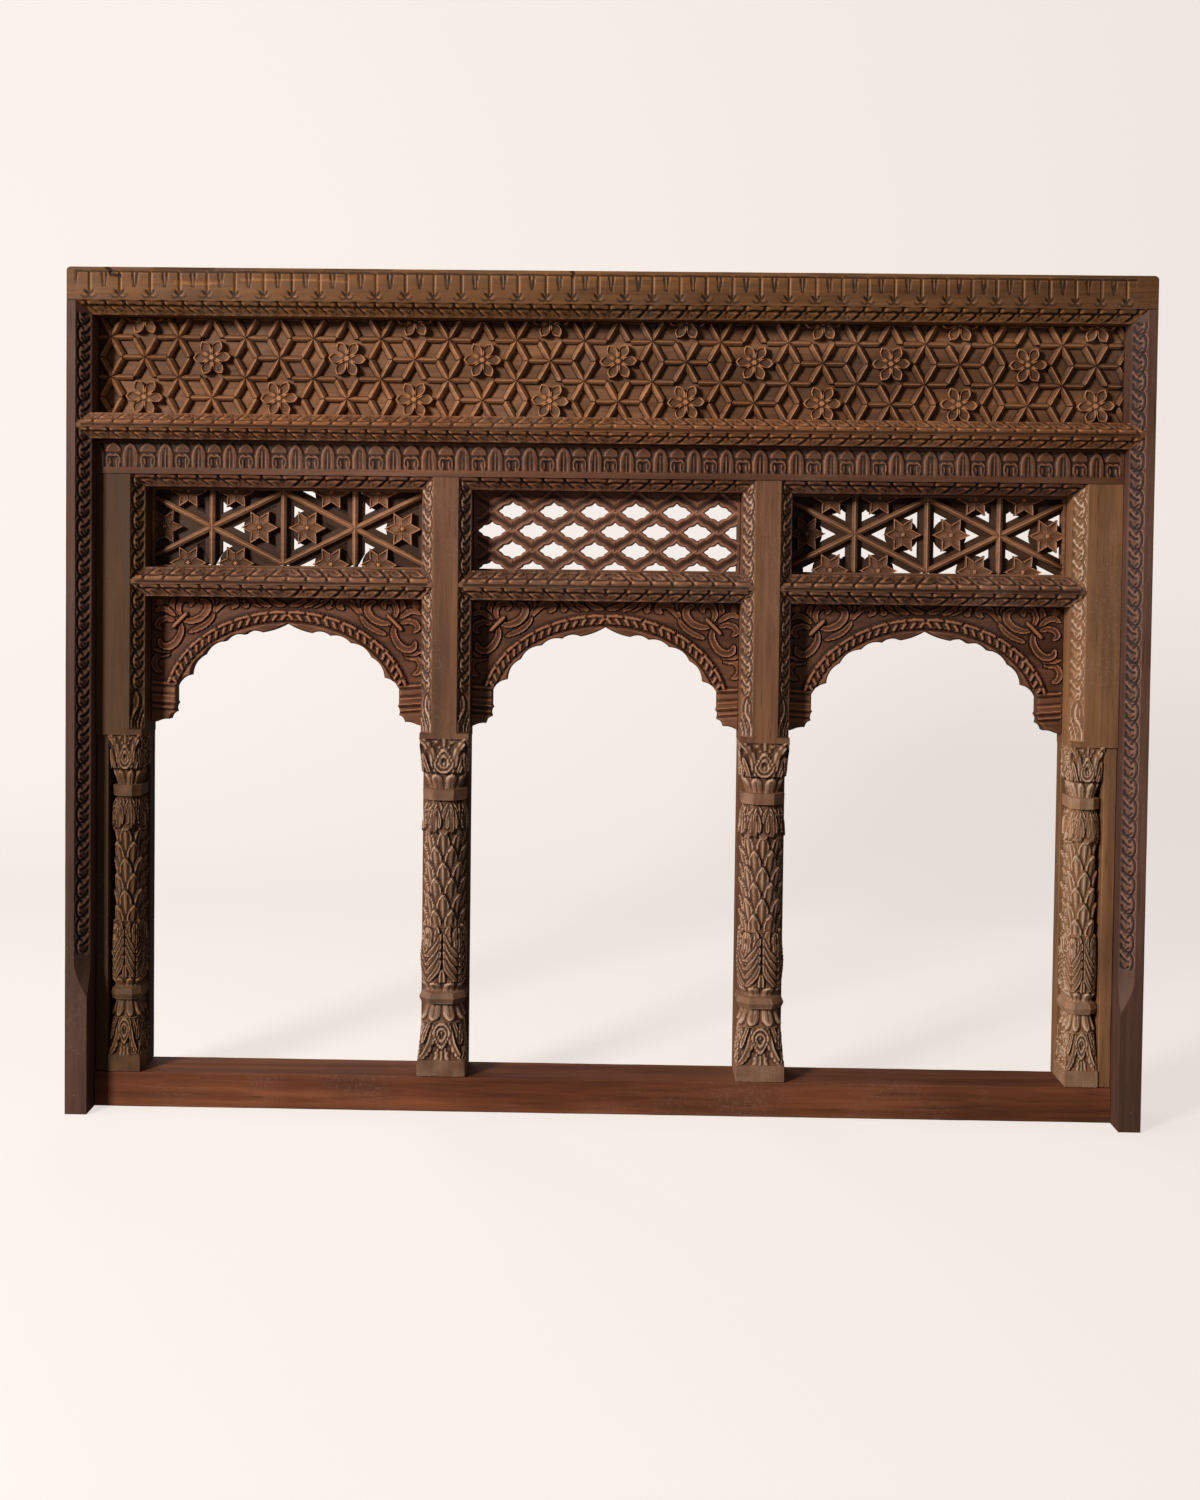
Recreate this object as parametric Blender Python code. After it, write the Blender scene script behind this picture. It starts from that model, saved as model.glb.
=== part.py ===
"""Carved hardwood window frame with three cusped arches, in metres, +Z up.

The front looks towards -Y. The frame stands on the feet of its two stiles and on its
sill, with the origin under its middle, on the floor. Every depth below is counted
backwards from the front plane of the stiles.
"""

from math import cos, hypot, pi, radians, sin, tan

import bmesh
import bpy
from mathutils import Matrix, Vector

# Overall size.
WIDTH = 1.650
HEIGHT = 1.300
THICKNESS = 0.130
HALF_WIDTH = WIDTH / 2
FRONT = -THICKNESS / 2
GAP = 0.0003
# A chamfer starts this far inside the corner of the mitre it meets.
EASE = 0.0002

# Outer frame: head over two stiles, with one 45 degree chamfer all round inside.
STILE_WIDTH = 0.034
CHAMFER = 0.020
STILE_INNER = HALF_WIDTH - STILE_WIDTH
HEAD_FACE = 0.050
HEAD_BOTTOM = HEIGHT - HEAD_FACE - CHAMFER
STOP_TIP = 0.182
STOP_FULL = 0.238
STOP_STEPS = 5

# Rails, sill and transoms.
SETBACK = 0.042
SILL_HEIGHT = 0.055
RAIL_CENTRE = 1.061
RAIL_HALF = 0.020
RAIL_RIDGE = 0.003
RAIL_DEPTH = 0.001
LOTUS_DEPTH = 0.040
LOTUS_BOTTOM = 0.989
TRANSOM_CENTRE = 0.822
TRANSOM_HALF = 0.023
TRANSOM_RIDGE = 0.003
TRANSOM_BACK = 0.124

# Posts: two narrow mullions and two jambs against the stiles.
MULLION_CENTRE = 0.2485
MULLION_HALF = 0.0385
JAMB_INNER = 0.719
POST_CHAMFER = 0.019
BLOCK_BOTTOM = 0.583
CHAMFER_STOP = 0.592
SLAB_DEPTH = 0.102
COLUMN_ROOT = 0.112
SLAB_TRIM = 0.0006
JAMB_CARVED = 0.052
JAMB_STRIP_DEPTH = 0.046
CAP_OVERLAP = 0.002

# Column profile from the sill up: height, how far the carving lies inside the block,
# and the cut at its two front corners. Widths are for a mullion.
COLUMN_PROFILE = [
    (0.0553, 0.0005, 0.001),
    (0.080, 0.0005, 0.001),
    (0.083, 0.0020, 0.006),
    (0.110, 0.0040, 0.009),
    (0.138, 0.0065, 0.011),
    (0.140, 0.0045, 0.013),
    (0.166, 0.0090, 0.015),
    (0.168, 0.0050, 0.017),
    (0.1765, 0.0015, 0.018),
    (0.185, 0.0050, 0.017),
    (0.187, 0.0095, 0.015),
    (0.201, 0.0050, 0.014),
    (0.240, 0.0025, 0.016),
    (0.287, 0.0060, 0.017),
    (0.292, 0.0080, 0.018),
    (0.433, 0.0080, 0.018),
    (0.438, 0.0035, 0.016),
    (0.470, 0.0045, 0.016),
    (0.485, 0.0095, 0.016),
    (0.487, 0.0050, 0.018),
    (0.504, 0.0045, 0.018),
    (0.506, 0.0100, 0.015),
    (0.528, 0.0070, 0.012),
    (0.531, 0.0030, 0.010),
    (0.560, 0.0020, 0.007),
]

# Boards let in from the back: frieze panel, frets and arches.
FRIEZE_DEPTH = 0.052
FRIEZE_BACK = 0.080
BOARD_DEPTH = 0.098
BOARD_BACK = 0.124

# Frieze lattice: flowers and nodes on a triangular grid of 61.9 mm.
GRID_X = 0.0524
GRID_Z = 0.03095
GRID_ORIGIN = (0.0148, 1.1699)
GRID_COLUMNS = 15
POCKET_END = 0.0105
POCKET_DEPTH = 0.010
FLOWER_CLEAR = 0.0185
FLOWER_RADIUS = 0.028
FLOWER_HEIGHT = 0.004
FRIEZE_MARGIN = 0.001

# Star frets at the sides, and the wavy net in the middle.
STAR_COLUMN = 0.1132
STAR_ROW = 0.0570
STAR_CENTRE_Z = 0.9085
STAR_SHIFT_LEFT = -0.0075
BAR_WIDTH = 0.0095
STAR_RADIUS = 0.0310
FRET_MARGIN = 0.004
NET_PITCH = 0.065
NET_ROW = 0.031
NET_TOP = 0.939
NET_SHIFT = 0.0135
NET_HOLE = (0.027, 0.0155)
NET_ROWS = 4

# Arch outline for a right half, in millimetres from the arch's middle: the cusps from
# the point of the arch outwards, with the rise of the scallop that leads to each.
ARCH_CUSPS = [
    ((0, 757), 0),
    ((39, 742), -2),
    ((68, 738), 4.5),
    ((100, 727), 5),
    ((133, 705), 8),
    ((154, 673), 8),
    ((177, 655), 9),
    ((177, 636), 0),
    ((173, 628), 0),
    ((176, 614), 3),
    ((204, 600), 7),
]
SCALLOP_STEPS = 3
ARCH_FOOT = 0.600
BAND_RISE = 0.003
BAND_INNER = 0.012
BAND_OUTER = 0.028
BAND_STEPS = 8

# Iron nail heads near the feet of the stiles.
NAIL_RADIUS = 0.0035
NAIL_HEIGHT = 0.0015
NAIL_HOLE = 0.0042
NAIL_RECESS = 0.0018
NAIL_SPOT = (0.8105, 0.030)

# Colours as linear RGB.
HEAD_OLIVE = (0.150, 0.070, 0.032)
STILE_MAUVE = (0.185, 0.105, 0.078)
FRIEZE_BROWN = (0.150, 0.070, 0.035)
RAIL_GOLD = (0.150, 0.064, 0.030)
LOTUS_BROWN = (0.130, 0.060, 0.036)
JAMB_YELLOW = (0.170, 0.090, 0.055)
MULLION_TAN = (0.190, 0.092, 0.055)
TRANSOM_BROWN = (0.120, 0.055, 0.032)
FRET_GREY = (0.165, 0.095, 0.070)
ARCH_RED = (0.165, 0.075, 0.046)
SILL_RED = (0.125, 0.042, 0.018)
NAIL_GREY = (0.230, 0.210, 0.195)


def clear_scene():
    """Empties the scene and makes the collections for the parts and the cutters."""
    for obj in list(bpy.data.objects):
        bpy.data.objects.remove(obj, do_unlink=True)
    for name in ("carved_window", "cutters"):
        collection = bpy.data.collections.new(name)
        bpy.context.scene.collection.children.link(collection)


def finish(name, colour, roughness=0.62, metallic=0.0):
    """Returns a plain material, made once for each name; the defaults suit old wood."""
    material = bpy.data.materials.get(name) or bpy.data.materials.new(name)
    material.use_nodes = True
    shader = material.node_tree.nodes["Principled BSDF"]
    shader.inputs["Base Color"].default_value = (*colour, 1)
    shader.inputs["Roughness"].default_value = roughness
    shader.inputs["Metallic"].default_value = metallic
    return material


def place(name, mesh, material=None):
    """Links a mesh as a part, or as a hidden cutter where it has no material."""
    obj = bpy.data.objects.new(name, mesh)
    if material is None:
        obj.hide_render = True
        obj.display_type = "WIRE"
        bpy.data.collections["cutters"].objects.link(obj)
    else:
        mesh.materials.clear()
        mesh.materials.append(material)
        bpy.data.collections["carved_window"].objects.link(obj)
    return obj


# A flat outline can be pushed along X, Y or Z: its own axes turn to these.
TURNS = {
    "X": Matrix(((0, 0, 1, 0), (1, 0, 0, 0), (0, 1, 0, 0), (0, 0, 0, 1))),
    "Y": Matrix(((1, 0, 0, 0), (0, 0, -1, 0), (0, 1, 0, 0), (0, 0, 0, 1))),
    "Z": Matrix.Identity(4),
}


def extrude(name, loops, axis, start, end, material=None):
    """Makes a closed solid from flat loops pushed along one axis, from start to end.

    The loops are (x, z) for Y, (y, z) for X and (x, y) for Z. A loop inside another
    is a hole in it.
    """
    curve = bpy.data.curves.new(name, "CURVE")
    curve.dimensions = "2D"
    curve.fill_mode = "BOTH"
    curve.extrude = abs(end - start) / 2
    for loop in loops:
        spline = curve.splines.new("POLY")
        spline.points.add(len(loop) - 1)
        for point, (u, v) in zip(spline.points, loop):
            point.co = (u, v, 0, 1)
        spline.use_cyclic_u = True
    guide = bpy.data.objects.new(name + "_outline", curve)
    bpy.context.scene.collection.objects.link(guide)
    evaluated = guide.evaluated_get(bpy.context.evaluated_depsgraph_get())
    mesh = bpy.data.meshes.new_from_object(evaluated)
    bpy.data.objects.remove(guide)
    bpy.data.curves.remove(curve)
    middle = (start + end) / 2
    offset = {"X": (middle, 0, 0), "Y": (0, middle, 0), "Z": (0, 0, middle)}[axis]
    mesh.transform(Matrix.Translation(offset) @ TURNS[axis])
    weld(mesh)
    return place(name, mesh, material)


def weld(mesh):
    """Closes the seams of a mesh and turns its faces outwards."""
    work = bmesh.new()
    work.from_mesh(mesh)
    bmesh.ops.remove_doubles(work, verts=work.verts, dist=0.00001)
    bmesh.ops.recalc_face_normals(work, faces=work.faces)
    work.to_mesh(mesh)
    work.free()


def box(name, x, y, z, material=None):
    """Makes a box between two values on each axis."""
    work = bmesh.new()
    bmesh.ops.create_cube(work, size=1)
    spans = [Vector(pair) for pair in (x, y, z)]
    for vertex in work.verts:
        vertex.co = Vector(s[0] + (c + 0.5) * (s[1] - s[0]) for s, c in zip(spans, vertex.co))
    mesh = bpy.data.meshes.new(name)
    work.to_mesh(mesh)
    work.free()
    return place(name, mesh, material)


def loft(name, rings, material=None):
    """Makes a closed solid through rings that have the same number of points."""
    work = bmesh.new()
    rows = [[work.verts.new(point) for point in ring] for ring in rings]
    count = len(rings[0])
    for low, high in zip(rows, rows[1:]):
        for i in range(count):
            j = (i + 1) % count
            work.faces.new((low[i], low[j], high[j], high[i]))
    work.faces.new(rows[0])
    work.faces.new(rows[-1])
    bmesh.ops.recalc_face_normals(work, faces=work.faces)
    mesh = bpy.data.meshes.new(name)
    work.to_mesh(mesh)
    work.free()
    return place(name, mesh, material)


def combine(target, tool, operation, self_overlap=False):
    """Adds an exact Boolean of the tool to the target."""
    modifier = target.modifiers.new(tool.name, "BOOLEAN")
    modifier.operation = operation
    modifier.solver = "EXACT"
    modifier.use_self = self_overlap
    modifier.object = tool


def cut(target, tool):
    """Takes the tool away from the target."""
    combine(target, tool, "DIFFERENCE")


def join(target, tool):
    """Unites the tool with the target."""
    combine(target, tool, "UNION")


def depth(value):
    """Turns a depth behind the front plane into a world Y."""
    return FRONT + value


def mirrored(points, side):
    """Returns (x, other) points on the right, or mirrored to the left for side -1."""
    return [(side * u, v) for u, v in points]


def arc(start, end, rise, steps):
    """Points from start to end, end left out, on an arc that rises to the left of it."""
    chord = Vector(end) - Vector(start)
    normal = Vector((-chord.y, chord.x)).normalized()
    points = []
    for i in range(steps):
        t = i / steps
        points.append(tuple(Vector(start) + chord * t + normal * rise * 4 * t * (1 - t)))
    return points


def build_head():
    """The head: a beam over both stiles, mitred down between their chamfers."""
    shoulder = STILE_INNER + CHAMFER
    top = HEAD_BOTTOM + CHAMFER
    material = finish("head_wood", HEAD_OLIVE)
    across = (-HALF_WIDTH, HALF_WIDTH)
    head = box("head_beam", across, (FRONT, -FRONT), (HEAD_BOTTOM, HEIGHT), material)
    reach = 0.01
    notch = [
        (shoulder, top),
        (STILE_INNER - reach, HEAD_BOTTOM - reach),
        (HALF_WIDTH + reach, HEAD_BOTTOM - reach),
        (HALF_WIDTH + reach, top),
    ]
    for side, label in ((-1, "left"), (1, "right")):
        outline = mirrored(notch, side)
        cut(head, extrude("head_notch_" + label, [outline], "Y", 2 * FRONT, -2 * FRONT))
    section = chamfer_section(FRONT, top, CHAMFER)
    cut(head, extrude("head_chamfer", [section], "X", -HALF_WIDTH, HALF_WIDTH))


def chamfer_section(front, top, size):
    """The (y, z) triangle that cuts a chamfer under a beam whose face ends at top."""
    reach = 0.005
    return [
        (front - reach - EASE, top + reach),
        (front - reach - EASE, top - size - reach - EASE),
        (front + size + reach, top - size - reach - EASE),
    ]


def build_stile(side, name):
    """A stile: its inner front edge is chamfered down to a curved stop."""
    top = HEAD_BOTTOM + CHAMFER - GAP
    outline = [
        (STILE_INNER, 0),
        (HALF_WIDTH, 0),
        (HALF_WIDTH, top),
        (STILE_INNER + CHAMFER, top),
        (STILE_INNER, HEAD_BOTTOM - GAP),
    ]
    material = finish("stile_wood", STILE_MAUVE)
    stile = extrude(name, [mirrored(outline, side)], "Y", FRONT, -FRONT, material)
    rings = []
    for i in range(STOP_STEPS + 1):
        t = i / STOP_STEPS
        size = CHAMFER * sin(t * pi / 2)
        rings.append(chamfer_ring(side, size, STOP_TIP + (STOP_FULL - STOP_TIP) * t))
    rings.append(chamfer_ring(side, CHAMFER, HEIGHT))
    cut(stile, loft(name + "_chamfer", rings))
    hole = bpy.data.meshes.new(name + "_nail_hole")
    work = bmesh.new()
    bmesh.ops.create_cone(
        work, cap_ends=True, segments=12, radius1=NAIL_HOLE, radius2=NAIL_HOLE,
        depth=NAIL_RECESS * 2,
    )
    work.to_mesh(hole)
    work.free()
    hole.transform(nail_place(side) @ Matrix.Rotation(radians(90), 4, "X"))
    cut(stile, place(name + "_nail_hole", hole))


def chamfer_ring(side, size, z):
    """One triangle of a stile's chamfer cutter, whose cut is size wide and deep."""
    reach = 0.004
    edge = STILE_INNER + size - EASE
    corners = [
        (STILE_INNER - reach, FRONT - reach),
        (edge + reach, FRONT - reach),
        (STILE_INNER - reach, FRONT + size - EASE + reach),
    ]
    return [(side * x, y, z) for x, y in corners]


def nail_place(side):
    """Where a nail sits on a stile's front."""
    return Matrix.Translation((side * NAIL_SPOT[0], FRONT, NAIL_SPOT[1]))


def build_nail(side, name):
    """A domed iron nail head, sunk a little into the stile."""
    rings = []
    segments = 10
    for t in (0.0, 0.45, 0.8):
        radius = NAIL_RADIUS * cos(t * pi / 2)
        y = FRONT + NAIL_HEIGHT * (1 - sin(t * pi / 2))
        ring = []
        for i in range(segments):
            angle = 2 * pi * i / segments
            x = side * NAIL_SPOT[0] + radius * cos(angle)
            ring.append((x, y, NAIL_SPOT[1] + radius * sin(angle)))
        rings.append(ring)
    loft(name, rings, finish("nail_iron", NAIL_GREY, roughness=0.45, metallic=0.85))


def trim_to_chamfer(piece, side, inner, chamfer, front, label):
    """Cuts a bar's end to lap over the chamfer of the upright beside it.

    The upright's inner face stands at inner, and its front plane at depth front.
    """
    slope_gap = GAP * 1.42
    edge = inner - GAP * side
    corner = inner + (chamfer - slope_gap) * side
    far = inner + 0.2 * side
    reach = 0.02
    plan = [
        (edge, THICKNESS),
        (edge, depth(front + chamfer)),
        (corner, depth(front)),
        (corner + reach * side, depth(front) - reach),
        (far, depth(front) - reach),
        (far, THICKNESS),
    ]
    cut(piece, extrude(label, [plan], "Z", 0.7, 1.2))


def ridge_section(centre, half, ridge, front, back):
    """A bar's (y, z) section: a narrow flat ridge between two 45 degree chamfers."""
    slope = half - ridge
    return [
        (depth(front), centre - ridge),
        (depth(front), centre + ridge),
        (depth(front + slope), centre + half),
        (depth(back), centre + half),
        (depth(back), centre - half),
        (depth(front + slope), centre - half),
    ]


def build_middle_rail():
    """The V-ridged rail under the frieze, lapped over the stiles' chamfers."""
    section = ridge_section(RAIL_CENTRE, RAIL_HALF, RAIL_RIDGE, RAIL_DEPTH, THICKNESS)
    reach = STILE_INNER + CHAMFER
    material = finish("rail_wood", RAIL_GOLD)
    rail = extrude("middle_rail", [section], "X", -reach, reach, material)
    for side, label in ((-1, "rail_trim_left"), (1, "rail_trim_right")):
        trim_to_chamfer(rail, side, side * STILE_INNER, CHAMFER, 0, label)


def post_edges():
    """The x of each post's inner faces, left to right, as (left edge, right edge)."""
    inner = MULLION_CENTRE - MULLION_HALF
    outer = MULLION_CENTRE + MULLION_HALF
    return [(-JAMB_INNER, -outer), (-inner, inner), (outer, JAMB_INNER)]


def build_lotus_rail():
    """The inner head, which carries the lotus band and mitres to the posts' chamfers."""
    top = RAIL_CENTRE - RAIL_HALF - GAP
    low = LOTUS_BOTTOM - POST_CHAMFER
    edge = STILE_INNER - GAP
    span = (depth(LOTUS_DEPTH), -FRONT)
    rail = box("lotus_rail", (-edge, edge), span, (low, top), finish("lotus_wood", LOTUS_BROWN))
    inner = MULLION_CENTRE - MULLION_HALF
    outer = MULLION_CENTRE + MULLION_HALF
    reach = 0.01
    for side, label in ((-1, "left"), (1, "right")):
        under_mullion = [
            (inner - reach, low - reach),
            (inner + POST_CHAMFER, LOTUS_BOTTOM),
            (outer - POST_CHAMFER, LOTUS_BOTTOM),
            (outer + reach, low - reach),
        ]
        under_jamb = [
            (JAMB_INNER - reach, low - reach),
            (JAMB_INNER + POST_CHAMFER, LOTUS_BOTTOM),
            (STILE_INNER + reach, LOTUS_BOTTOM),
            (STILE_INNER + reach, low - reach),
        ]
        for notch, post in ((under_mullion, "mullion"), (under_jamb, "jamb")):
            name = "lotus_notch_%s_%s" % (label, post)
            cut(rail, extrude(name, [mirrored(notch, side)], "Y", 2 * FRONT, -2 * FRONT))
    section = chamfer_section(depth(SETBACK), LOTUS_BOTTOM, POST_CHAMFER)
    cut(rail, extrude("lotus_chamfer", [section], "X", -HALF_WIDTH, HALF_WIDTH))


def column_rings(centre, half, low_depth):
    """Rings of a carved column whose back runs into the slab behind it."""
    ratio = half / MULLION_HALF
    rings = []
    top = (BLOCK_BOTTOM + CAP_OVERLAP, 0.0006, 0.002)
    for z, inset, corner in COLUMN_PROFILE + [top]:
        x = half - inset * ratio
        c = corner * ratio
        front = depth(SETBACK + inset)
        back = depth(low_depth)
        rings.append([
            (centre - x, back, z),
            (centre - x, front + corner, z),
            (centre - x + c, front, z),
            (centre + x - c, front, z),
            (centre + x, front + corner, z),
            (centre + x, back, z),
        ])
    return rings


def chamfer_cutter(name, edge, direction):
    """Cutter for the front edge of a post at x = edge, cut inwards along direction."""
    reach = 0.004
    size = POST_CHAMFER - EASE
    front = depth(SETBACK)
    plan = [
        (edge - direction * reach, front - reach),
        (edge + direction * (size + reach), front - reach),
        (edge - direction * reach, front + size + reach),
    ]
    return extrude(name, [plan], "Z", CHAMFER_STOP, LOTUS_BOTTOM + 0.01)


def build_mullion(side, name):
    """A post between two openings: chamfered above, a carved column below."""
    centre = side * MULLION_CENTRE
    half = MULLION_HALF - GAP
    face = MULLION_HALF - POST_CHAMFER
    top = LOTUS_BOTTOM - GAP
    outline = [
        (centre - half, BLOCK_BOTTOM),
        (centre + half, BLOCK_BOTTOM),
        (centre + half, top - POST_CHAMFER),
        (centre + face, top),
        (centre - face, top),
        (centre - half, top - POST_CHAMFER),
    ]
    material = finish("mullion_wood", MULLION_TAN)
    post = extrude(name, [outline], "Y", depth(SETBACK), -FRONT, material)
    for direction, label in ((1, "_chamfer_left"), (-1, "_chamfer_right")):
        cut(post, chamfer_cutter(name + label, centre - direction * half, direction))
    bottom = SILL_HEIGHT + GAP
    column = column_rings(centre, half, COLUMN_ROOT)
    width = half - SLAB_TRIM
    join(post, loft(name + "_column", column))
    span = (centre - width, centre + width)
    heights = (bottom, BLOCK_BOTTOM + CAP_OVERLAP)
    join(post, box(name + "_slab", span, (depth(SLAB_DEPTH), -FRONT - SLAB_TRIM), heights))


def build_jamb(side, name):
    """A post beside a stile: chamfered on one edge, with a half column below."""
    inner = JAMB_INNER + GAP
    outer = STILE_INNER - GAP
    top = LOTUS_BOTTOM - GAP
    outline = [
        (inner, BLOCK_BOTTOM),
        (outer, BLOCK_BOTTOM),
        (outer, top),
        (inner + POST_CHAMFER, top),
        (inner, top - POST_CHAMFER),
    ]
    material = finish("jamb_wood", JAMB_YELLOW)
    post = extrude(name, [mirrored(outline, side)], "Y", depth(SETBACK), -FRONT, material)
    cut(post, chamfer_cutter(name + "_chamfer", side * inner, side))
    half = JAMB_CARVED / 2
    column = column_rings(side * (inner + half), half, COLUMN_ROOT)
    join(post, loft(name + "_column", column))
    heights = (SILL_HEIGHT + GAP, BLOCK_BOTTOM + CAP_OVERLAP)
    back = -FRONT - SLAB_TRIM
    strip = sorted((side * (inner + JAMB_CARVED - 0.003), side * (outer - SLAB_TRIM)))
    join(post, box(name + "_strip", strip, (depth(JAMB_STRIP_DEPTH), back), heights))
    slab = sorted((side * (inner + SLAB_TRIM), side * (outer - 0.010)))
    join(post, box(name + "_slab", slab, (depth(SLAB_DEPTH), back - 0.0002), heights))


def build_sill():
    """The sill between the stiles, with the posts standing on it."""
    edge = STILE_INNER - GAP
    span = (depth(SETBACK), -FRONT)
    box("sill", (-edge, edge), span, (0, SILL_HEIGHT), finish("sill_wood", SILL_RED))


def build_transom(left, right, name):
    """A V-ridged bar between two posts, its pointed ends lapped over their chamfers."""
    section = ridge_section(TRANSOM_CENTRE, TRANSOM_HALF, TRANSOM_RIDGE, SETBACK, TRANSOM_BACK)
    reach = POST_CHAMFER
    material = finish("transom_wood", TRANSOM_BROWN)
    bar = extrude(name, [section], "X", left - reach, right + reach, material)
    trim_to_chamfer(bar, -1, left, POST_CHAMFER, SETBACK, name + "_trim_left")
    trim_to_chamfer(bar, 1, right, POST_CHAMFER, SETBACK, name + "_trim_right")


def clip(outline, limits):
    """The part of an outline inside a box, given as (low x, high x, low z, high z)."""
    x0, x1, z0, z1 = limits
    for axis, limit, sign in ((0, x0, -1), (0, x1, 1), (1, z0, -1), (1, z1, 1)):
        kept = []
        for a, b in zip(outline, outline[1:] + outline[:1]):
            inside_a = sign * (limit - a[axis]) >= 0
            inside_b = sign * (limit - b[axis]) >= 0
            if inside_a:
                kept.append(a)
            if inside_a != inside_b:
                t = (limit - a[axis]) / (b[axis] - a[axis])
                kept.append((a[0] + (b[0] - a[0]) * t, a[1] + (b[1] - a[1]) * t))
        outline = kept
    return outline


def clipped(outlines, limits, least=0.006):
    """Clips outlines to a box, and leaves out those that keep less than a small strip."""
    kept = []
    for outline in outlines:
        part = clip(outline, limits)
        if part and all(max(p[i] for p in part) - min(p[i] for p in part) > least for i in (0, 1)):
            kept.append(part)
    return kept


def add_pit(work, node, towards, near):
    """Adds the pyramid between a node and its neighbour, which lies along towards.

    The pit runs from the distance near, seen from the node, to POCKET_END before the
    neighbour. It is left out where it would reach over the panel's edge.
    """
    direction = Vector(towards).normalized()
    far = Vector(towards).length - POCKET_END
    middle = Vector(node) + direction * (near + far) / 2
    half = (far - near) / 2
    across = Vector((-direction.y, direction.x)) * tan(radians(30))
    low, high, edge = frieze_limits()
    for corner in (direction * half, across * half, -direction * half, -across * half):
        x, z = middle + corner
        if not (-edge < x < edge and low < z < high):
            return
    reach = 0.002
    size = half * (POCKET_DEPTH + reach) / POCKET_DEPTH
    height = POCKET_DEPTH + reach
    matrix = Matrix((
        (direction.x * size, across.x * size, 0, middle.x),
        (0, 0, 1, depth(FRIEZE_DEPTH) - reach + height / 2),
        (direction.y * size, across.y * size, 0, middle.y),
        (0, 0, 0, 1),
    ))
    bmesh.ops.create_cone(
        work, cap_ends=True, segments=4, radius1=1, radius2=0, depth=height, matrix=matrix
    )


def frieze_limits():
    """How far carving reaches on the frieze panel: low z, high z and half its length."""
    low = RAIL_CENTRE + RAIL_HALF + GAP + FRIEZE_MARGIN
    return low, HEAD_BOTTOM - GAP - FRIEZE_MARGIN, STILE_INNER - GAP - FRIEZE_MARGIN


def has_flower(column, row):
    """Flowers stand on every fourth column, two columns on in every other row."""
    return column % 4 == (0 if row % 2 == 0 else 2)


def star(x, z, radius, points=6, waist=0.52, turn=0.0):
    """A star outline whose first point looks along +X, turned by an angle."""
    outline = []
    for i in range(points * 2):
        r = radius if i % 2 == 0 else radius * waist
        angle = turn + pi * i / points
        outline.append((x + r * cos(angle), z + r * sin(angle)))
    return outline


def build_frieze():
    """The frieze panel: rhombic pockets on a star grid, with raised six-petal flowers."""
    low = RAIL_CENTRE + RAIL_HALF + GAP
    high = HEAD_BOTTOM - GAP
    edge = STILE_INNER - GAP
    across = (-edge, edge)
    front = depth(FRIEZE_DEPTH)
    material = finish("frieze_wood", FRIEZE_BROWN)
    panel = box("frieze_panel", across, (front, depth(FRIEZE_BACK)), (low, high), material)
    pits = bmesh.new()
    flowers = []
    steps = ((0, 2 * GRID_Z), (GRID_X, GRID_Z), (GRID_X, -GRID_Z))
    for column in range(-GRID_COLUMNS, GRID_COLUMNS + 1):
        for row in range(-2, 3):
            x = GRID_ORIGIN[0] + column * GRID_X
            z = GRID_ORIGIN[1] + (2 * row - column % 2) * GRID_Z
            if has_flower(column, row):
                flowers.append(star(x, z, FLOWER_RADIUS))
            for dx, dz in steps:
                at_start = has_flower(column, row)
                over = column + round(dx / GRID_X)
                up = row + round((dz / GRID_Z + over % 2 - column % 2) / 2)
                if has_flower(over, up) and over % 2 == 0:
                    add_pit(pits, (x + dx, z + dz), (-dx, -dz), FLOWER_CLEAR)
                else:
                    add_pit(pits, (x, z), (dx, dz), FLOWER_CLEAR if at_start else POCKET_END)
    mesh = bpy.data.meshes.new("frieze_pits")
    pits.to_mesh(mesh)
    pits.free()
    weld(mesh)
    cut(panel, place("frieze_pits", mesh))
    low, high, edge = frieze_limits()
    flowers = clipped(flowers, (-edge, edge, low, high))
    raised = front - FLOWER_HEIGHT
    join(panel, extrude("frieze_flowers", flowers, "Y", raised, front + 0.002))


def bar_outline(start, end, width):
    """A straight bar's outline between two points."""
    a = Vector(start)
    b = Vector(end)
    side = Vector((-(b - a).y, (b - a).x)).normalized() * width / 2
    return [tuple(p) for p in (a + side, a - side, b - side, b + side)]


def merged_solids(name, outlines, front, back):
    """One cutter mesh that holds a separate solid for each outline, overlaps allowed."""
    work = bmesh.new()
    for outline in outlines:
        piece = extrude(name + "_piece", [outline], "Y", front, back)
        work.from_mesh(piece.data)
        bpy.data.objects.remove(piece)
    mesh = bpy.data.meshes.new(name)
    work.to_mesh(mesh)
    work.free()
    return place(name, mesh)


def fret_field(left, right):
    """The rectangle between posts, lotus rail and transom that a fret board fills."""
    low = TRANSOM_CENTRE + TRANSOM_HALF + GAP
    high = LOTUS_BOTTOM - POST_CHAMFER - GAP
    return left + GAP, right - GAP, low, high


def rectangle(x0, x1, z0, z1):
    """A rectangle's outline."""
    return [(x0, z0), (x1, z0), (x1, z1), (x0, z1)]


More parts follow.
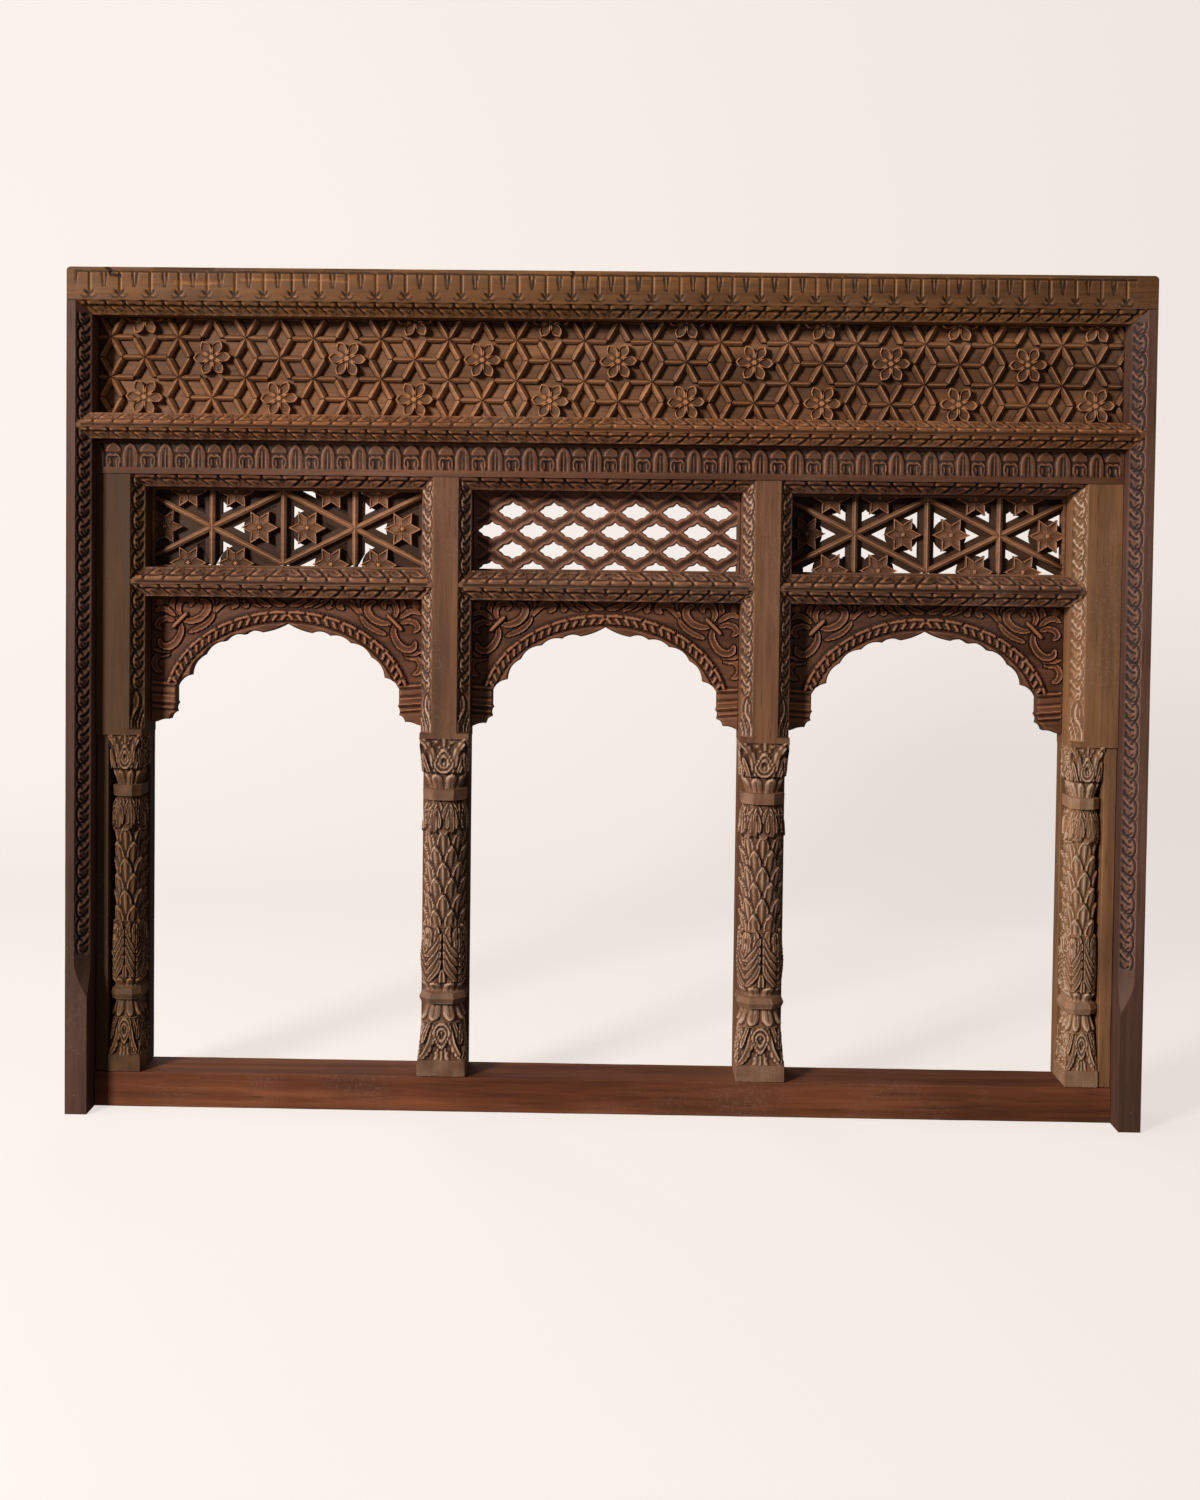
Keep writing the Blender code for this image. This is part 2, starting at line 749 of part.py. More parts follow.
def build_star_fret(left, right, shift, name):
    """A side fret: bars on a star grid, with a six-pointed flower in each triangle."""
    x0, x1, z0, z1 = fret_field(left, right)
    centre = (left + right) / 2 + shift
    front = depth(BOARD_DEPTH)
    back = depth(BOARD_BACK)
    rim = rectangle(x0 + FRET_MARGIN, x1 - FRET_MARGIN, z0 + FRET_MARGIN, z1 - FRET_MARGIN)
    frame = [rectangle(x0, x1, z0, z1), rim]
    material = finish("fret_wood", FRET_GREY)
    fret = extrude(name, frame, "Y", front, back, material)
    shapes = []
    for column in range(-3, 4):
        x = centre + column * STAR_COLUMN
        shapes.append(bar_outline((x, z0), (x, z1), BAR_WIDTH))
        for way in (1, -1):
            rise = way * STAR_ROW
            even = column % 2 == 0
            a = (x, STAR_CENTRE_Z + (rise if even else 0))
            b = (x + STAR_COLUMN, STAR_CENTRE_Z + (0 if even else rise))
            shapes.append(bar_outline(a, b, BAR_WIDTH))
    for x, z in star_places(centre, x0, x1):
        shapes.append(star(x, z, STAR_RADIUS, waist=0.55))
    edges = 0.001
    limits = (x0 + edges, x1 - edges, z0 + edges, z1 - edges)
    solids = clipped(shapes, limits)
    bars = merged_solids(name + "_bars", solids, front + 0.0005, back - 0.001)
    combine(fret, bars, "UNION", self_overlap=True)


def star_places(centre, x0, x1):
    """Flower centres of a side fret: one in each triangle, and halves at top and bottom."""
    third = STAR_COLUMN / 3
    places = []
    for column in (-1, 1):
        x = centre + column * STAR_COLUMN
        places += [(x - 2 * third, STAR_CENTRE_Z), (x + 2 * third, STAR_CENTRE_Z)]
        for way in (1, -1):
            for offset in (-third, third):
                places.append((x + offset, STAR_CENTRE_Z + way * STAR_ROW))
    return [(x, z) for x, z in places if x0 < x < x1]


def ogee_hole(x, z, half_width, half_height):
    """One opening of the wavy net: a lozenge with pinched sides."""
    outline = []
    steps = 8
    for i in range(steps):
        angle = 2 * pi * i / steps
        pinch = 1 - 0.16 * abs(sin(2 * angle))
        outline.append((x + half_width * pinch * cos(angle), z + half_height * pinch * sin(angle)))
    return outline


def build_net_fret(left, right, name):
    """The middle fret: rows of lozenge openings, half a pitch apart from row to row."""
    x0, x1, z0, z1 = fret_field(left, right)
    holes = []
    for row in range(NET_ROWS):
        z = NET_TOP - row * NET_ROW
        offset = NET_SHIFT + (NET_PITCH / 2 if row % 2 == 0 else 0)
        for column in range(-4, 4):
            hole = ogee_hole(offset + column * NET_PITCH, z, *NET_HOLE)
            hole = [(u, max(v, z0 + 0.003)) for u, v in hole]
            if min(u for u, v in hole) > x0 + 0.004 and max(u for u, v in hole) < x1 - 0.004:
                holes.append(hole)
    loops = [rectangle(x0, x1, z0, z1)] + holes
    extrude(name, loops, "Y", depth(BOARD_DEPTH), depth(BOARD_BACK), finish("fret_wood", FRET_GREY))


def arch_half():
    """The right half of an arch's opening from the point down to the foot."""
    points = []
    for (start, _), (end, rise) in zip(ARCH_CUSPS, ARCH_CUSPS[1:]):
        steps = SCALLOP_STEPS if rise else 1
        points += arc([v / 1000 for v in start], [v / 1000 for v in end], rise / 1000, steps)
    points.append(tuple(v / 1000 for v in ARCH_CUSPS[-1][0]))
    return points


def build_arch(left, right, name):
    """An arch board: a cusped opening with a raised band that follows its curve."""
    centre = (left + right) / 2
    top = TRANSOM_CENTRE - TRANSOM_HALF - GAP
    half = (right - left) / 2 - GAP
    inner = arch_half()
    side = [(half, ARCH_FOOT - 0.002), (half, top)]
    right_side = inner + side
    outline = [(centre - x, z) for x, z in reversed(right_side)]
    outline += [(centre + x, z) for x, z in right_side[1:]]
    front = depth(BOARD_DEPTH)
    arch = extrude(name, [outline], "Y", front, depth(BOARD_BACK), finish("arch_wood", ARCH_RED))
    band = band_outline(centre)
    join(arch, extrude(name + "_band", [band], "Y", front - BAND_RISE, front + 0.004))


def band_outline(centre):
    """The leaf band over the scallops, between two smooth curves."""
    edges = []
    for offset in (BAND_INNER, BAND_OUTER):
        row = []
        for i in range(-BAND_STEPS, BAND_STEPS + 1):
            t = i / BAND_STEPS
            x, z = band_curve(abs(t))
            nx, nz = band_normal(abs(t))
            sign = -1 if t < 0 else 1
            row.append((centre + sign * (x + nx * offset), z + nz * offset))
        edges.append(row)
    return edges[0] + list(reversed(edges[1]))


def band_curve(t):
    """The smooth curve through the scallops, from the crown at 0 to the spring at 1."""
    angle = t * radians(80)
    return 0.168 * sin(angle), 0.640 + 0.110 * cos(angle) - 0.012 * t * t


def band_normal(t):
    """The outward normal of that curve."""
    step = 0.01
    x0, z0 = band_curve(max(t - step, 0))
    x1, z1 = band_curve(t + step)
    length = hypot(x1 - x0, z1 - z0)
    return (z0 - z1) / length, (x1 - x0) / length


def build_window():
    """Builds every piece of the window."""
    clear_scene()
    build_head()
    build_stile(-1, "left_stile")
    build_stile(1, "right_stile")
    build_nail(-1, "left_foot_nail")
    build_nail(1, "right_foot_nail")
    build_sill()
    build_middle_rail()
    build_lotus_rail()
    build_frieze()
    build_jamb(-1, "left_jamb_post")
    build_jamb(1, "right_jamb_post")
    build_mullion(-1, "left_mullion_post")
    build_mullion(1, "right_mullion_post")
    bays = zip(post_edges(), ("left", "centre", "right"))
    for (left, right), bay in bays:
        build_transom(left, right, bay + "_transom")
        build_arch(left, right, bay + "_arch")
        if bay == "centre":
            build_net_fret(left, right, bay + "_fret")
        else:
            shift = STAR_SHIFT_LEFT if bay == "left" else 0.0
            build_star_fret(left, right, shift, bay + "_fret")


build_window()
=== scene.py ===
"""Carved arched window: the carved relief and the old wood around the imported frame.

Sizes are millimetres. A place is (x, depth, z): x to the right, depth backwards from the
front plane of the stiles, z up from the floor. Meshes are written in metres.
"""
from __future__ import annotations

import logging
import math
from collections.abc import Callable, Sequence
from dataclasses import dataclass, field
from enum import Enum
from itertools import product

import bmesh
import bpy
import numpy as np
from mathutils import Matrix, Vector

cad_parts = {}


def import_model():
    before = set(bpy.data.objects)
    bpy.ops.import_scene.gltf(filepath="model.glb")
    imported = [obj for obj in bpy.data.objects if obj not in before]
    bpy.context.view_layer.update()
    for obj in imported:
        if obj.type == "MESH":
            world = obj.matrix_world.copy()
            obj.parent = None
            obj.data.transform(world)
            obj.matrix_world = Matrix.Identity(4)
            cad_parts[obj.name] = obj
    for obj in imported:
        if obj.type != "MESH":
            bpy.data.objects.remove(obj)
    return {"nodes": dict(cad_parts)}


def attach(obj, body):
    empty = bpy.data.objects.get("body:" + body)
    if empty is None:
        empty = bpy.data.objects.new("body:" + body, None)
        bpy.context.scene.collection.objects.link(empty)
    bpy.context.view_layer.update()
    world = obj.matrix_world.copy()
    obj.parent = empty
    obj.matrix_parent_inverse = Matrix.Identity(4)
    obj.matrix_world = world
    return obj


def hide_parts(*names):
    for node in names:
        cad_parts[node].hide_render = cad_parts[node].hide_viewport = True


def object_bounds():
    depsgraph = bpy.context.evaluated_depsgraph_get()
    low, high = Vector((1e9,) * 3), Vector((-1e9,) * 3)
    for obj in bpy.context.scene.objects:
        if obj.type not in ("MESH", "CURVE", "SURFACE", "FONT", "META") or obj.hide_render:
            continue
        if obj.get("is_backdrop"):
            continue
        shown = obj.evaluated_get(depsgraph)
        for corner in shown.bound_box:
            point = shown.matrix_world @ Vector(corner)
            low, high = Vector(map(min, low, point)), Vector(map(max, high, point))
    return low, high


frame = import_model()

LOG = logging.getLogger("carved_window")
MM = 0.001
ROOT = "root"
CAD_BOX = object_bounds()

HALF_WIDTH = 825.0
TOP = 1300.0
DEEP = 130.0
GAP = 0.3
SLIT = 0.03
STILE_INNER = 791.0
STILE_TOP = 1250.0
CHAMFER = 20.0
HEAD_BOTTOM = 1230.0
POST_FRONT = 42.0
POST_CHAMFER = 19.0
POST_FOOT = 55.3
LOTUS_BOTTOM = 989.0
BOARD_FRONT = 98.0
BOARD_BACK = 124.0
FRET_LOW = 845.0 - 0.5
FRET_HIGH = 970.0 + 0.5
BAYS = {"left": (-719.0, -287.0), "centre": (-210.0, 210.0), "right": (287.0, 719.0)}
STEP = 1.85
POST_STEP = 1.9
SIXTH = math.pi / 3

Array = np.ndarray
Mesh = bpy.types.Mesh
Object = bpy.types.Object
NodeTree = bpy.types.NodeTree
Socket = bpy.types.NodeSocket
Point = tuple[float, float]
Stroke = Sequence[Point]
Spot = tuple[float, float, float]
Limit = Callable[[Array, Array], Array]


class Grain(Enum):
    """The way the wood's grain runs, with the coordinates along and across it."""

    ALONG_X = ("X", "Z")
    ALONG_Z = ("Z", "X")


class Side(Enum):
    """The side of the window that a piece stands on."""

    LEFT = -1
    RIGHT = 1


class Axis(Enum):
    """The way a beam runs, with the order of its coordinates in a place."""

    X = (1, 2, 0)
    Z = (0, 1, 2)


class Motif(Enum):
    """The carved motifs that repeat, each with its own number on the mesh."""

    TONGUE, LEAF, GUILLOCHE, LOTUS, FLAME, CAPITAL = range(1, 7)
    LAPPET, DROOPING, SCALE, CALYX, DASH = range(7, 12)


def held(value: Array) -> Array:
    """Keeps values between 0 and 1."""
    return np.clip(value, 0, 1)


def eased(value: Array) -> Array:
    """Smooths a ramp from 0 to 1 at both ends."""
    t = held(value)
    return t * t * (3 - 2 * t)


def dome(share: Array) -> Array:
    """The height of a half-round at a share of its half width."""
    return np.sqrt(held(1 - share**2))


def crest(value: Array, middle: float, half: float) -> Array:
    """A roof shape: 1 at the middle, 0 beyond half a width on both sides."""
    return held(1 - np.abs(value - middle) / half)


def blurred(values: Array, radius: int) -> Array:
    """Averages a grid over a square window of a radius in cells."""
    size = 2 * radius + 1
    for axis in (0, 1):
        pad = [(0, 0), (0, 0)]
        pad[axis] = (radius + 1, radius)
        total = np.cumsum(np.pad(values, pad, mode="edge"), axis=axis)
        high = np.take(total, range(size, total.shape[axis]), axis=axis)
        low = np.take(total, range(0, total.shape[axis] - size), axis=axis)
        values = (high - low) / size
    return values


def smooth_path(points: Stroke, steps: int = 6) -> Array:
    """Runs a Catmull-Rom curve through points.

    Args:
        points: The points to pass through.
        steps: How many pieces each stretch is divided into.

    Returns:
        The curve's points, one a row.
    """
    knots = np.array(points, dtype=float)
    if len(knots) < 3:
        return knots
    knots = np.vstack([2 * knots[0] - knots[1], knots, 2 * knots[-1] - knots[-2]])
    t = np.linspace(0, 1, steps, endpoint=False)[:, None]
    rows = []
    for a, b, c, d in zip(knots, knots[1:], knots[2:], knots[3:]):
        curve = 2 * b + (c - a) * t + (2 * a - 5 * b + 4 * c - d) * t**2
        rows.append((curve + (3 * b - a - 3 * c + d) * t**3) / 2)
    return np.vstack([*rows, knots[-2][None]])


def path_distance(u: Array, v: Array, path: Array) -> tuple[Array, Array]:
    """Finds how far points lie from a path.

    Args:
        u: First coordinate of the points.
        v: Second coordinate of the points.
        path: The path's corners, one a row.

    Returns:
        The distance, and how far along the path the nearest place is, from 0 to 1.
    """
    best = np.full(u.shape, 1e9)
    along = np.zeros(u.shape)
    for i, (a, b) in enumerate(zip(path, path[1:])):
        d = b - a
        length = float(d @ d) or 1e-9
        t = held(((u - a[0]) * d[0] + (v - a[1]) * d[1]) / length)
        far = np.hypot(u - a[0] - t * d[0], v - a[1] - t * d[1])
        nearer = far < best
        best = np.where(nearer, far, best)
        along = np.where(nearer, (i + t) / (len(path) - 1), along)
    return best, along


def stations(start: float, stop: float, step: float = STEP, also: Sequence[float] = ()) -> Array:
    """Evenly spaced places along a beam, with some extra ones."""
    even = np.linspace(start, stop, max(2, round((stop - start) / step) + 1))
    return np.unique(np.concatenate([even, np.array(also, dtype=float)]))


def placed(name: str, data: bpy.types.ID) -> Object:
    """Makes an object of a mesh, lamp or camera and puts it in the scene."""
    thing = bpy.data.objects.new(name, data)
    bpy.context.scene.collection.objects.link(thing)
    return thing


def record(mesh: Mesh, name: str, values: Array) -> None:
    """Stores numbers on a mesh's points, whole ones as integers."""
    kind, number = ("INT", np.int32) if values.dtype.kind == "i" else ("FLOAT", np.float32)
    mesh.attributes.new(name, kind, "POINT").data.foreach_set("value", values.astype(number))


def grid_faces(rows: int, columns: int) -> Array:
    """The quads of a grid whose points are numbered row by row."""
    index = np.arange(rows * columns).reshape(rows, columns)
    corners = (index[:-1, :-1], index[1:, :-1], index[1:, 1:], index[:-1, 1:])
    return np.stack(corners, axis=-1).reshape(-1, 4)


@dataclass
class Relief:
    """Heights over a field of points, cut and raised by strokes.

    Attributes:
        u: First coordinate of every point.
        v: Second coordinate of every point.
        wrap_u: The distance after which the pattern repeats along u, or 0.
        wrap_v: The distance after which the pattern repeats along v, or 0.
    """

    u: Array
    v: Array
    wrap_u: float = 0.0
    wrap_v: float = 0.0
    body: Array = field(init=False)
    cuts: Array = field(init=False)

    def __post_init__(self) -> None:
        """Starts from a flat field."""
        self.body, self.cuts = np.zeros((2, *self.u.shape))

    def near(self, path: Array) -> tuple[Array, Array]:
        """Distance to a path and place along it, with the pattern's repeats counted in."""
        best, along = path_distance(self.u, self.v, path)
        wraps = [(-wrap, 0, wrap) if wrap else (0,) for wrap in (self.wrap_u, self.wrap_v)]
        for shift in product(*wraps):
            if any(shift):
                far, place = path_distance(self.u, self.v, path + shift)
                along = np.where(far < best, place, along)
                best = np.minimum(far, best)
        return best, along

    def groove(
        self, points: Stroke, half: float, depth: float, taper: Point = (1, 1),
        pillow: float = 0.35,
    ) -> None:
        """Cuts a V groove whose shoulders are rounded over.

        Args:
            points: The stroke, as a few points that a smooth curve runs through.
            half: Half the groove's width.
            depth: Its depth.
            taper: How wide and deep its start and end are, as a share of the full size.
            pillow: How much of the depth the rounding of the shoulders takes.
        """
        far, place = self.near(smooth_path(points))
        size = taper[0] + (taper[1] - taper[0]) * place
        least = np.maximum(size, 0.2)
        sharp = held(1 - far / (half * least))
        round_over = held(1 - far / (2.8 * half * least)) ** 2
        cut = depth * size * ((1 - pillow) * sharp + pillow * round_over)
        self.cuts = np.maximum(self.cuts, cut)

    def ridge(
        self, points: Stroke, half: float, height: float, ground: float = 0.0,
        taper: Point = (1, 1),
    ) -> None:
        """Leaves a half-round ridge standing along a stroke.

        Args:
            points: The stroke, as a few points.
            half: Half the ridge's width.
            height: The height of its top.
            ground: The height of its foot.
            taper: How wide its start and end are, as a share of the full width.
        """
        far, place = self.near(smooth_path(points))
        self.raise_to(far / (half * (taper[0] + (taper[1] - taper[0]) * place)), height, ground)

    def raise_to(self, share: Array, height: float, ground: float) -> None:
        """Raises a half-round where the share of its half width is under 1."""
        lift = ground + (height - ground) * dome(share)
        self.body = np.where(share < 1, np.maximum(self.body, lift), self.body)

    def boss(self, centre: Point, radii: Point, height: float, ground: float) -> None:
        """Raises a rounded boss at its middle, with its half sizes, top and foot."""
        far = np.hypot((self.u - centre[0]) / radii[0], (self.v - centre[1]) / radii[1])
        self.raise_to(far, height, ground)

    def leaf(
        self, points: Stroke, half: float, top: Point, hollow: float = 1.4,
        ends: Point = (0.35, 0.12), belly: float = 0.45, drop: float = 3.0,
    ) -> None:
        """Lays a hollowed leaf with raised rims over what is there, with a cut around it.

        Args:
            points: The leaf's middle line, as a few points.
            half: Half its greatest width.
            top: The height of its rims at its start and at its end.
            hollow: How deep it is hollowed.
            ends: How wide its start and end are, as a share of the greatest width.
            belly: Where it is widest, as a share of its length.
            drop: How deep the cut around it is.
        """
        far, place = self.near(smooth_path(points))
        rise = np.where(place < belly, place / belly, (1 - place) / (1 - belly))
        least = np.where(place < belly, *ends)
        size = half * (least + (1 - least) * np.sqrt(held(rise * (2 - rise))))
        share = far / size
        level = top[0] + (top[1] - top[0]) * place
        dish = hollow * (1 - held(share / 0.75) ** 2)
        fall = 1.4 * held((share - 0.78) / 0.22) ** 2
        around = held((size + 2.4 - far) / 0.8)
        self.body = self.body * (1 - around) + np.minimum(self.body, level - drop) * around
        self.body = np.where(share < 1, level - dish - fall, self.body)

    def heights(self) -> Array:
        """The finished heights."""
        return self.body - self.cuts

    def wear(self, radius: int, scale: float, widen: bool = True) -> Array:
        """How much each place stands above or below its surroundings, from 1 to -1.

        Args:
            radius: The size of the surroundings, in cells.
            scale: The difference in height that counts as 1.
            widen: Whether the low places are made a cell wider.

        Returns:
            A grid of the same shape: raised places read as wear, low places as painted shade.
        """
        height = self.heights()
        stand = np.clip((height - blurred(height, radius)) / scale, -1, 1)
        if not widen:
            return stand
        low = np.minimum(stand, 0)
        for axis in (0, 1):
            low = np.minimum.reduce([low, *(np.roll(low, shift, axis) for shift in (-1, 1))])
        return np.where(low < -0.25, low, stand * 0.8)


class Tile:
    """A rectangular tile of relief that the carving tree stamps over a surface."""

    def __init__(self, length: float, width: float, ground: float = 0.0, wrap: float = 0.0) -> None:
        """Lays out a flat tile.

        Args:
            length: Its length along the repeat.
            width: Its width across.
            ground: Its height.
            wrap: The distance after which it repeats across, or 0.
        """
        sides = [np.linspace(0, side, round(side / 0.6) + 1) for side in (length, width)]
        self.length = length
        self.width = width
        self.relief = Relief(*np.meshgrid(*sides, indexing="ij"), length, wrap)
        self.relief.body += ground

    def stamp(self, name: str) -> Object:
        """Makes the tile a helper object, with its wear and painted shade as an attribute."""
        relief = self.relief
        points = np.stack([relief.u, relief.v, relief.heights()], axis=-1) * MM
        mesh = bpy.data.meshes.new(name)
        faces = grid_faces(*relief.u.shape).tolist()
        mesh.from_pydata(points.reshape(-1, 3).tolist(), [], faces)
        record(mesh, "carve", relief.wear(5, 1.1).ravel())
        return placed(name, mesh)

    def stroke(self, points: Stroke) -> list[Point]:
        """A stroke in shares of the tile, in millimetres."""
        return [(u * self.length, v * self.width) for u, v in points]

    def cut(self, strokes: Sequence[Stroke], *sizes: object, **options: object) -> None:
        """Cuts the same kind of groove along several strokes."""
        for points in strokes:
            self.relief.groove(self.stroke(points), *sizes, **options)

    def swell(self, strokes: Sequence[Stroke], *sizes: object, **options: object) -> None:
        """Raises the same kind of ridge along several strokes."""
        for points in strokes:
            self.relief.ridge(self.stroke(points), *sizes, **options)

    def lay(self, strokes: Sequence[Stroke], *sizes: object, **options: object) -> None:
        """Lays the same kind of leaf along several strokes."""
        for points in strokes:
            self.relief.leaf(self.stroke(points), *sizes, **options)


@dataclass
class Band:
    """A stretch of a facet that takes a repeating motif.

    Attributes:
        motif: The motif.
        start: Where the carving starts along the beam.
        stop: Where it stops.
        pitch: The length of one repeat.
        origin: Where the first repeat begins.
        mirror: Whether the repeats run away from the origin both ways.
        turned: Whether its start across lies at the facet's far edge.
        edges: The plain fillets left beside it, at its start and end across.
        drift: How much closer the repeats get with distance.
    """

    motif: Motif
    start: float
    stop: float
    pitch: float
    origin: float = 0.0
    mirror: bool = False
    turned: bool = False
    edges: Point = (1.5, 1.5)
    drift: float = 0.0


@dataclass(frozen=True)
class Mark:
    """A crack, dent or chip in one side of a beam.

    Attributes:
        points: Its line: places along the beam and across the side.
        half: Half its width.
        depth: Its depth.
        age: -1 for a dark old one, 1 for a fresh pale one.
    """

    points: tuple[Point, ...]
    half: float
    depth: float
    age: float = -1.0


@dataclass
class Facet:
    """One side of a beam's section, which runs from a corner to the next facet's.

    Attributes:
        corner: The section's corner that it starts from: (p, q), or one for each station.
        steps: How many strips it is divided into.
        bands: The carving on it.
        marks: The damage to it.
    """

    corner: Array | Point
    steps: int = 1
    bands: tuple[Band, ...] = ()
    marks: tuple[Mark, ...] = ()


WELD = 0.00002
SLIVER = 0.000005


class Skin:
    """Collects the surfaces of one piece, with the numbers that the trees read."""

    NUMBERS = ("along", "across", "reach", "carve")

    def __init__(self) -> None:
        """Starts an empty skin."""
        self.points: list[Array] = []
        self.faces: list[list[int]] = []
        self.numbers: dict[str, list[Array]] = {name: [] for name in self.NUMBERS}
        self.motifs: list[Array] = []
        self.count = 0

    def grid(
        self, points: Array, along: Array | float = 0.0, across: Array | float = 0.0,
        reach: Array | float = 0.0, carve: Array | float = 0.0, motif: Array | int = 0,
        kept: Array | None = None,
    ) -> None:
        """Adds a grid of quads.

        Args:
            points: Places of shape (rows, columns, 3).
            along: Repeats counted along the motif, for each point.
            across: Repeats counted across it.
            reach: How far the motif's relief holds here, from 0 to 1.
            carve: Wear and painted shade that are known already: pale above 0, dark below 0.
            motif: The motif's number.
            kept: Which cells of the grid there are, or all of them.
        """
        shape = points.shape[:2]
        faces = grid_faces(*shape)
        faces = faces if kept is None else faces[kept.reshape(-1)]
        self.faces += (faces + self.count).tolist()
        self.add_points(points.reshape(-1, 3))
        values = {"along": along, "across": across, "reach": reach, "carve": carve}
        for name, value in values.items():
            self.numbers[name].append(np.broadcast_to(value, shape).reshape(-1))
        self.motifs.append(np.broadcast_to(motif, shape).reshape(-1))

    def face(self, points: Array) -> None:
        """Adds one flat face."""
        self.faces.append(list(range(self.count, self.count + len(points))))
        self.add_points(points)
        for values in self.numbers.values():
            values.append(np.zeros(len(points)))
        self.motifs.append(np.zeros(len(points), dtype=int))

    def add_points(self, points: Array) -> None:
        """Adds points, turned from places in millimetres to metres in the scene."""
        out = np.array(points, dtype=float) * MM
        out[:, 1] += CAD_BOX[0][1]
        self.points.append(out)
        self.count += len(points)

    def paint_shade(self) -> None:
        """Paints everything so far as dark as the deepest hollows, as painted shade."""
        self.numbers["carve"] = [values * 0 - 1 for values in self.numbers["carve"]]

    def box(self, low: Sequence[float], high: Sequence[float], round_off: float) -> None:
        """Adds a box with its long edges eased.

        Args:
            low: Its lowest x, depth and z.
            high: Its highest x, depth and z.
            round_off: The size of the eased edges, which run along its longest side.
        """
        low, high = np.array(low, dtype=float), np.array(high, dtype=float)
        long = int(np.argmax(high - low))
        p, q = [axis for axis in range(3) if axis != long]
        r = round_off
        (a, b), (c, d) = (low[p], high[p]), (low[q], high[q])
        ring = [(a + r, c), (b - r, c), (b, c + r), (b, d - r), (b - r, d), (a + r, d)]
        ring += [(a, d - r), (a, c + r)]
        ends = []
        for place in np.linspace(low[long], high[long], 3 + int((high - low)[long] // 60)):
            points = np.zeros((len(ring) + 1, 3))
            points[:, [p, q]] = ring + ring[:1]
            points[:, long] = place
            ends.append(points)
        self.grid(np.stack(ends))
        self.face(ends[0][:-1])
        self.face(ends[-1][:-1])

    def mesh(self, name: str, sharp: float = 28.0) -> Mesh:
        """Welds everything into closed bodies that face outwards.

        Args:
            name: The mesh's name.
            sharp: The angle in degrees over which an edge stays crisp.

        Returns:
            The mesh, with the numbers as attributes.
        """
        mesh = bpy.data.meshes.new(name)
        mesh.from_pydata(np.vstack(self.points).tolist(), [], self.faces)
        for label, values in self.numbers.items():
            record(mesh, label, np.concatenate(values))
        record(mesh, "motif", np.concatenate(self.motifs))
        work = bmesh.new()
        work.from_mesh(mesh)
        loose = [vert for vert in work.verts if not vert.link_faces]
        bmesh.ops.delete(work, geom=loose, context="VERTS")
        bmesh.ops.remove_doubles(work, verts=work.verts, dist=WELD)
        bmesh.ops.dissolve_degenerate(work, edges=work.edges, dist=SLIVER)
        bmesh.ops.recalc_face_normals(work, faces=work.faces)
        for face in work.faces:
            face.smooth = True
        work.to_mesh(mesh)
        work.free()
        mesh.set_sharp_from_angle(angle=math.radians(sharp))
        return mesh


